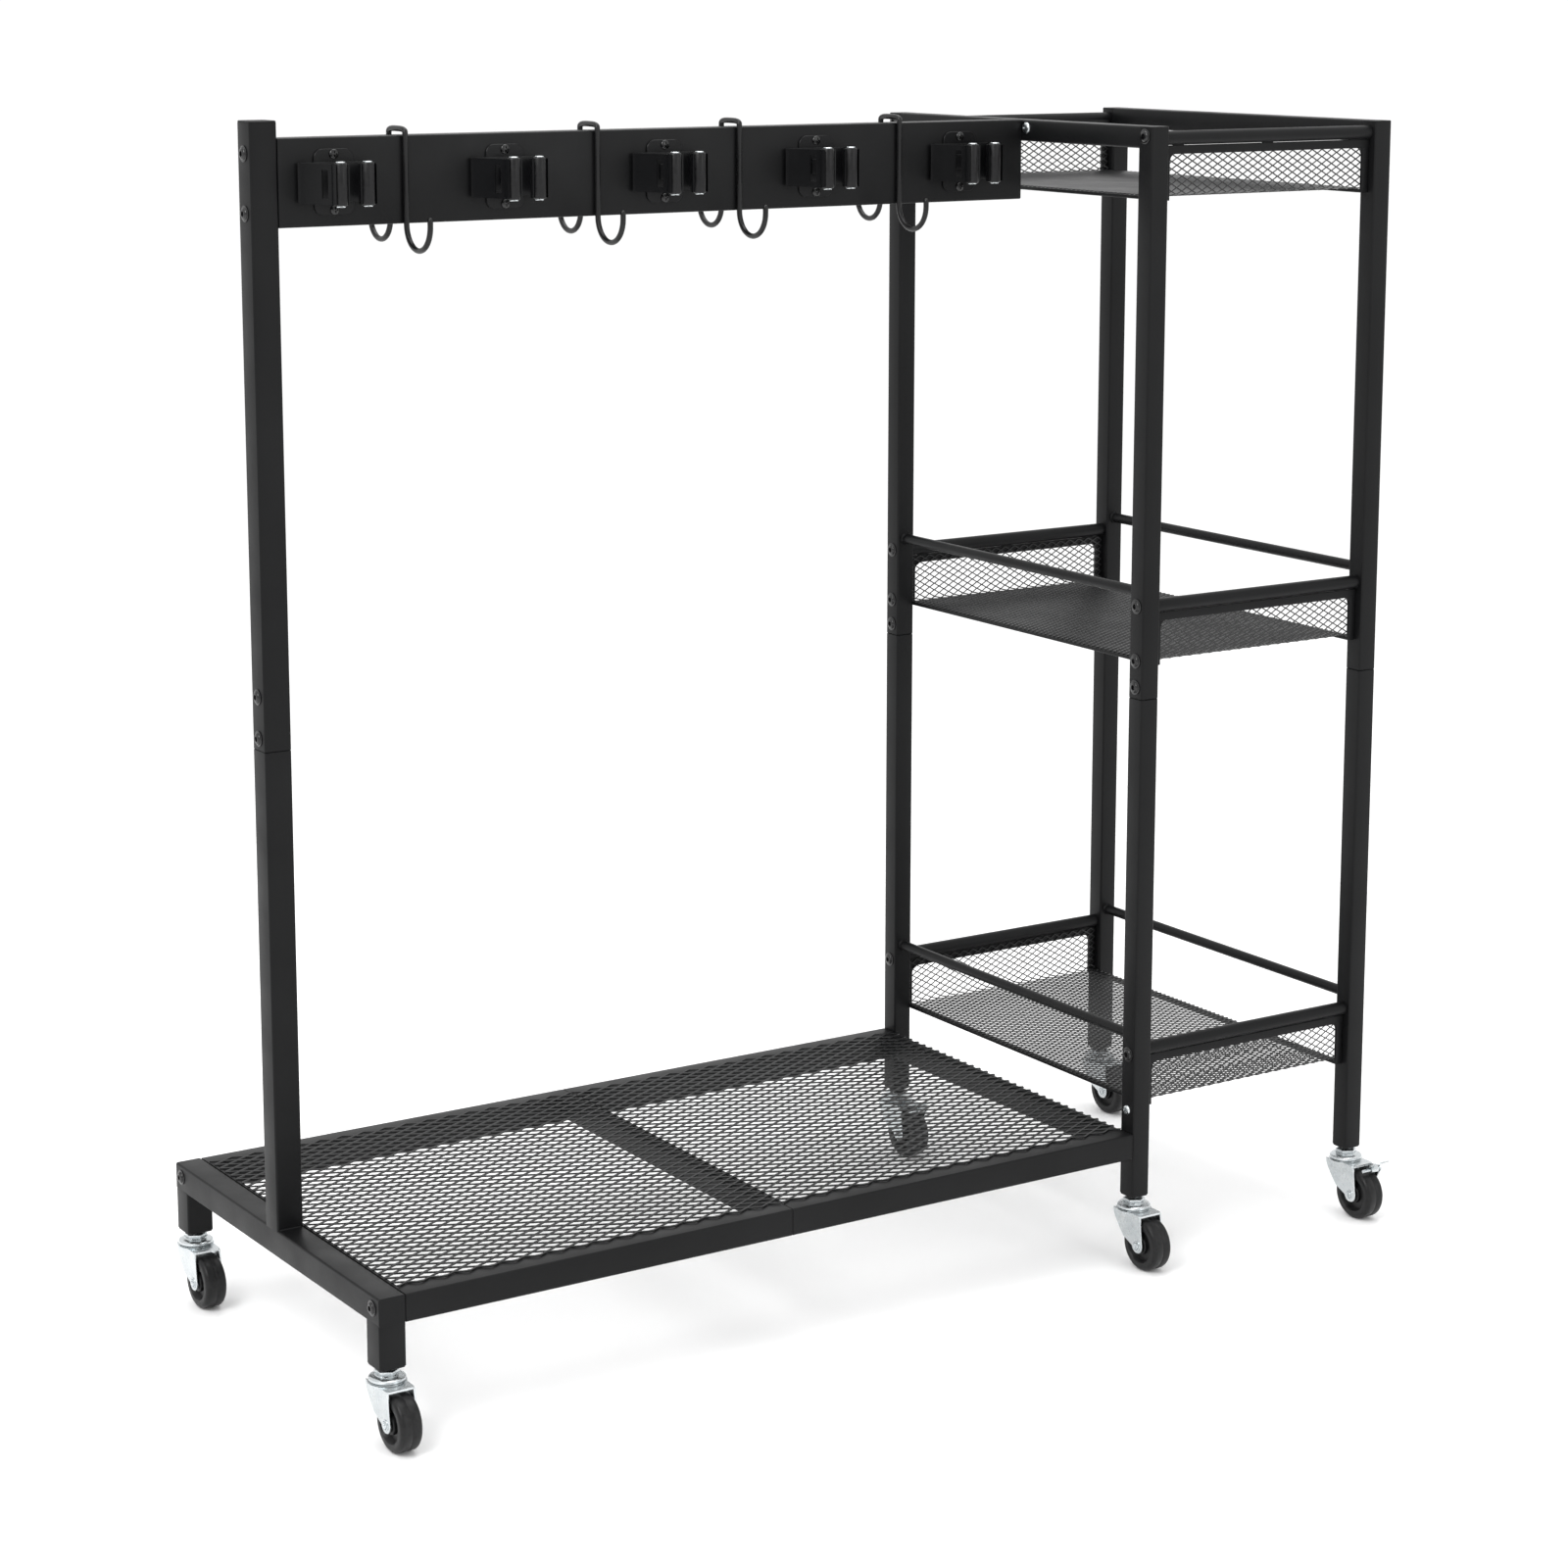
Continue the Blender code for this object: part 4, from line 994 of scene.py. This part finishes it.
def floor():
    """A wide near-white floor that takes the contact shadows."""
    bm = bmesh.new()
    size = 30.0
    steps = 8
    bmesh.ops.create_grid(bm, x_segments=steps, y_segments=steps, size=size)
    mesh = bpy.data.meshes.new("studio_floor")
    bm.to_mesh(mesh)
    bm.free()
    mat, tree, shader = principled("studio_floor", (0.97, 0.97, 0.97), 0.8, specular=0.1)
    tree.links.new(tint(tree, noise(tree, 0.8, 3.0), (0.955, 0.955, 0.955), (0.975, 0.975, 0.975)),
                   shader.inputs["Base Color"])
    mesh.materials.append(mat)
    obj = bpy.data.objects.new("studio_floor", mesh)
    obj.location.z = CAD_BOX[0].z - 0.0002
    bpy.context.scene.collection.objects.link(obj)


def area_light(name, place, target, size, watts):
    data = bpy.data.lights.new(name, "AREA")
    data.shape = "RECTANGLE"
    data.size, data.size_y = size
    data.energy = watts
    light = bpy.data.objects.new(name, data)
    light.location = place
    light.rotation_euler = (Vector(target) - Vector(place)).to_track_quat("-Z", "Y").to_euler()
    bpy.context.scene.collection.objects.link(light)


def studio():
    world = bpy.data.worlds.new("studio")
    world.use_nodes = True
    background = world.node_tree.nodes["Background"]
    background.inputs["Color"].default_value = (1.0, 1.0, 1.0, 1)
    background.inputs["Strength"].default_value = 1.06
    bpy.context.scene.world = world
    bpy.context.scene.view_settings.view_transform = "Standard"
    area_light("key", (-2.6, -1.2, 3.0), (0, 0, 0.5), (1.6, 1.6), 60)
    area_light("top", (0.3, 0.2, 3.6), (0, 0, 0.5), (2.4, 2.4), 50)
    area_light("front", (1.4, -3.6, 1.9), (0, 0, 0.6), (1.4, 2.0), 16)


def camera():
    """Seen from the front left and a little above, through a long lens with a small vertical shift."""
    azimuth, elevation, roll = math.radians(-32.945), math.radians(10.287), math.radians(0.044)
    target = Vector((END_LOW.x + 0.5514, FRONT + 0.230, 0.6133))
    back = Vector((math.sin(azimuth) * math.cos(elevation), -math.cos(azimuth) * math.cos(elevation),
                   math.sin(elevation)))
    data = bpy.data.cameras.new("camera")
    data.sensor_width = 36.0
    data.lens = 81.87
    data.shift_y = -0.10
    data.clip_end = 200.0
    cam = bpy.data.objects.new("camera", data)
    cam.location = target + back * 3.3731
    cam.rotation_mode = "QUATERNION"
    turn = Matrix.Rotation(roll, 3, "Z").to_quaternion()
    cam.rotation_quaternion = (-back).to_track_quat("-Z", "Y") @ turn
    bpy.context.scene.collection.objects.link(cam)
    bpy.context.scene.camera = cam


camera()
left_end()
tool_rail()
ladders()
base_frames()
decks()
baskets()
bolts()
clips()
hooks()
casters()
floor()
studio()
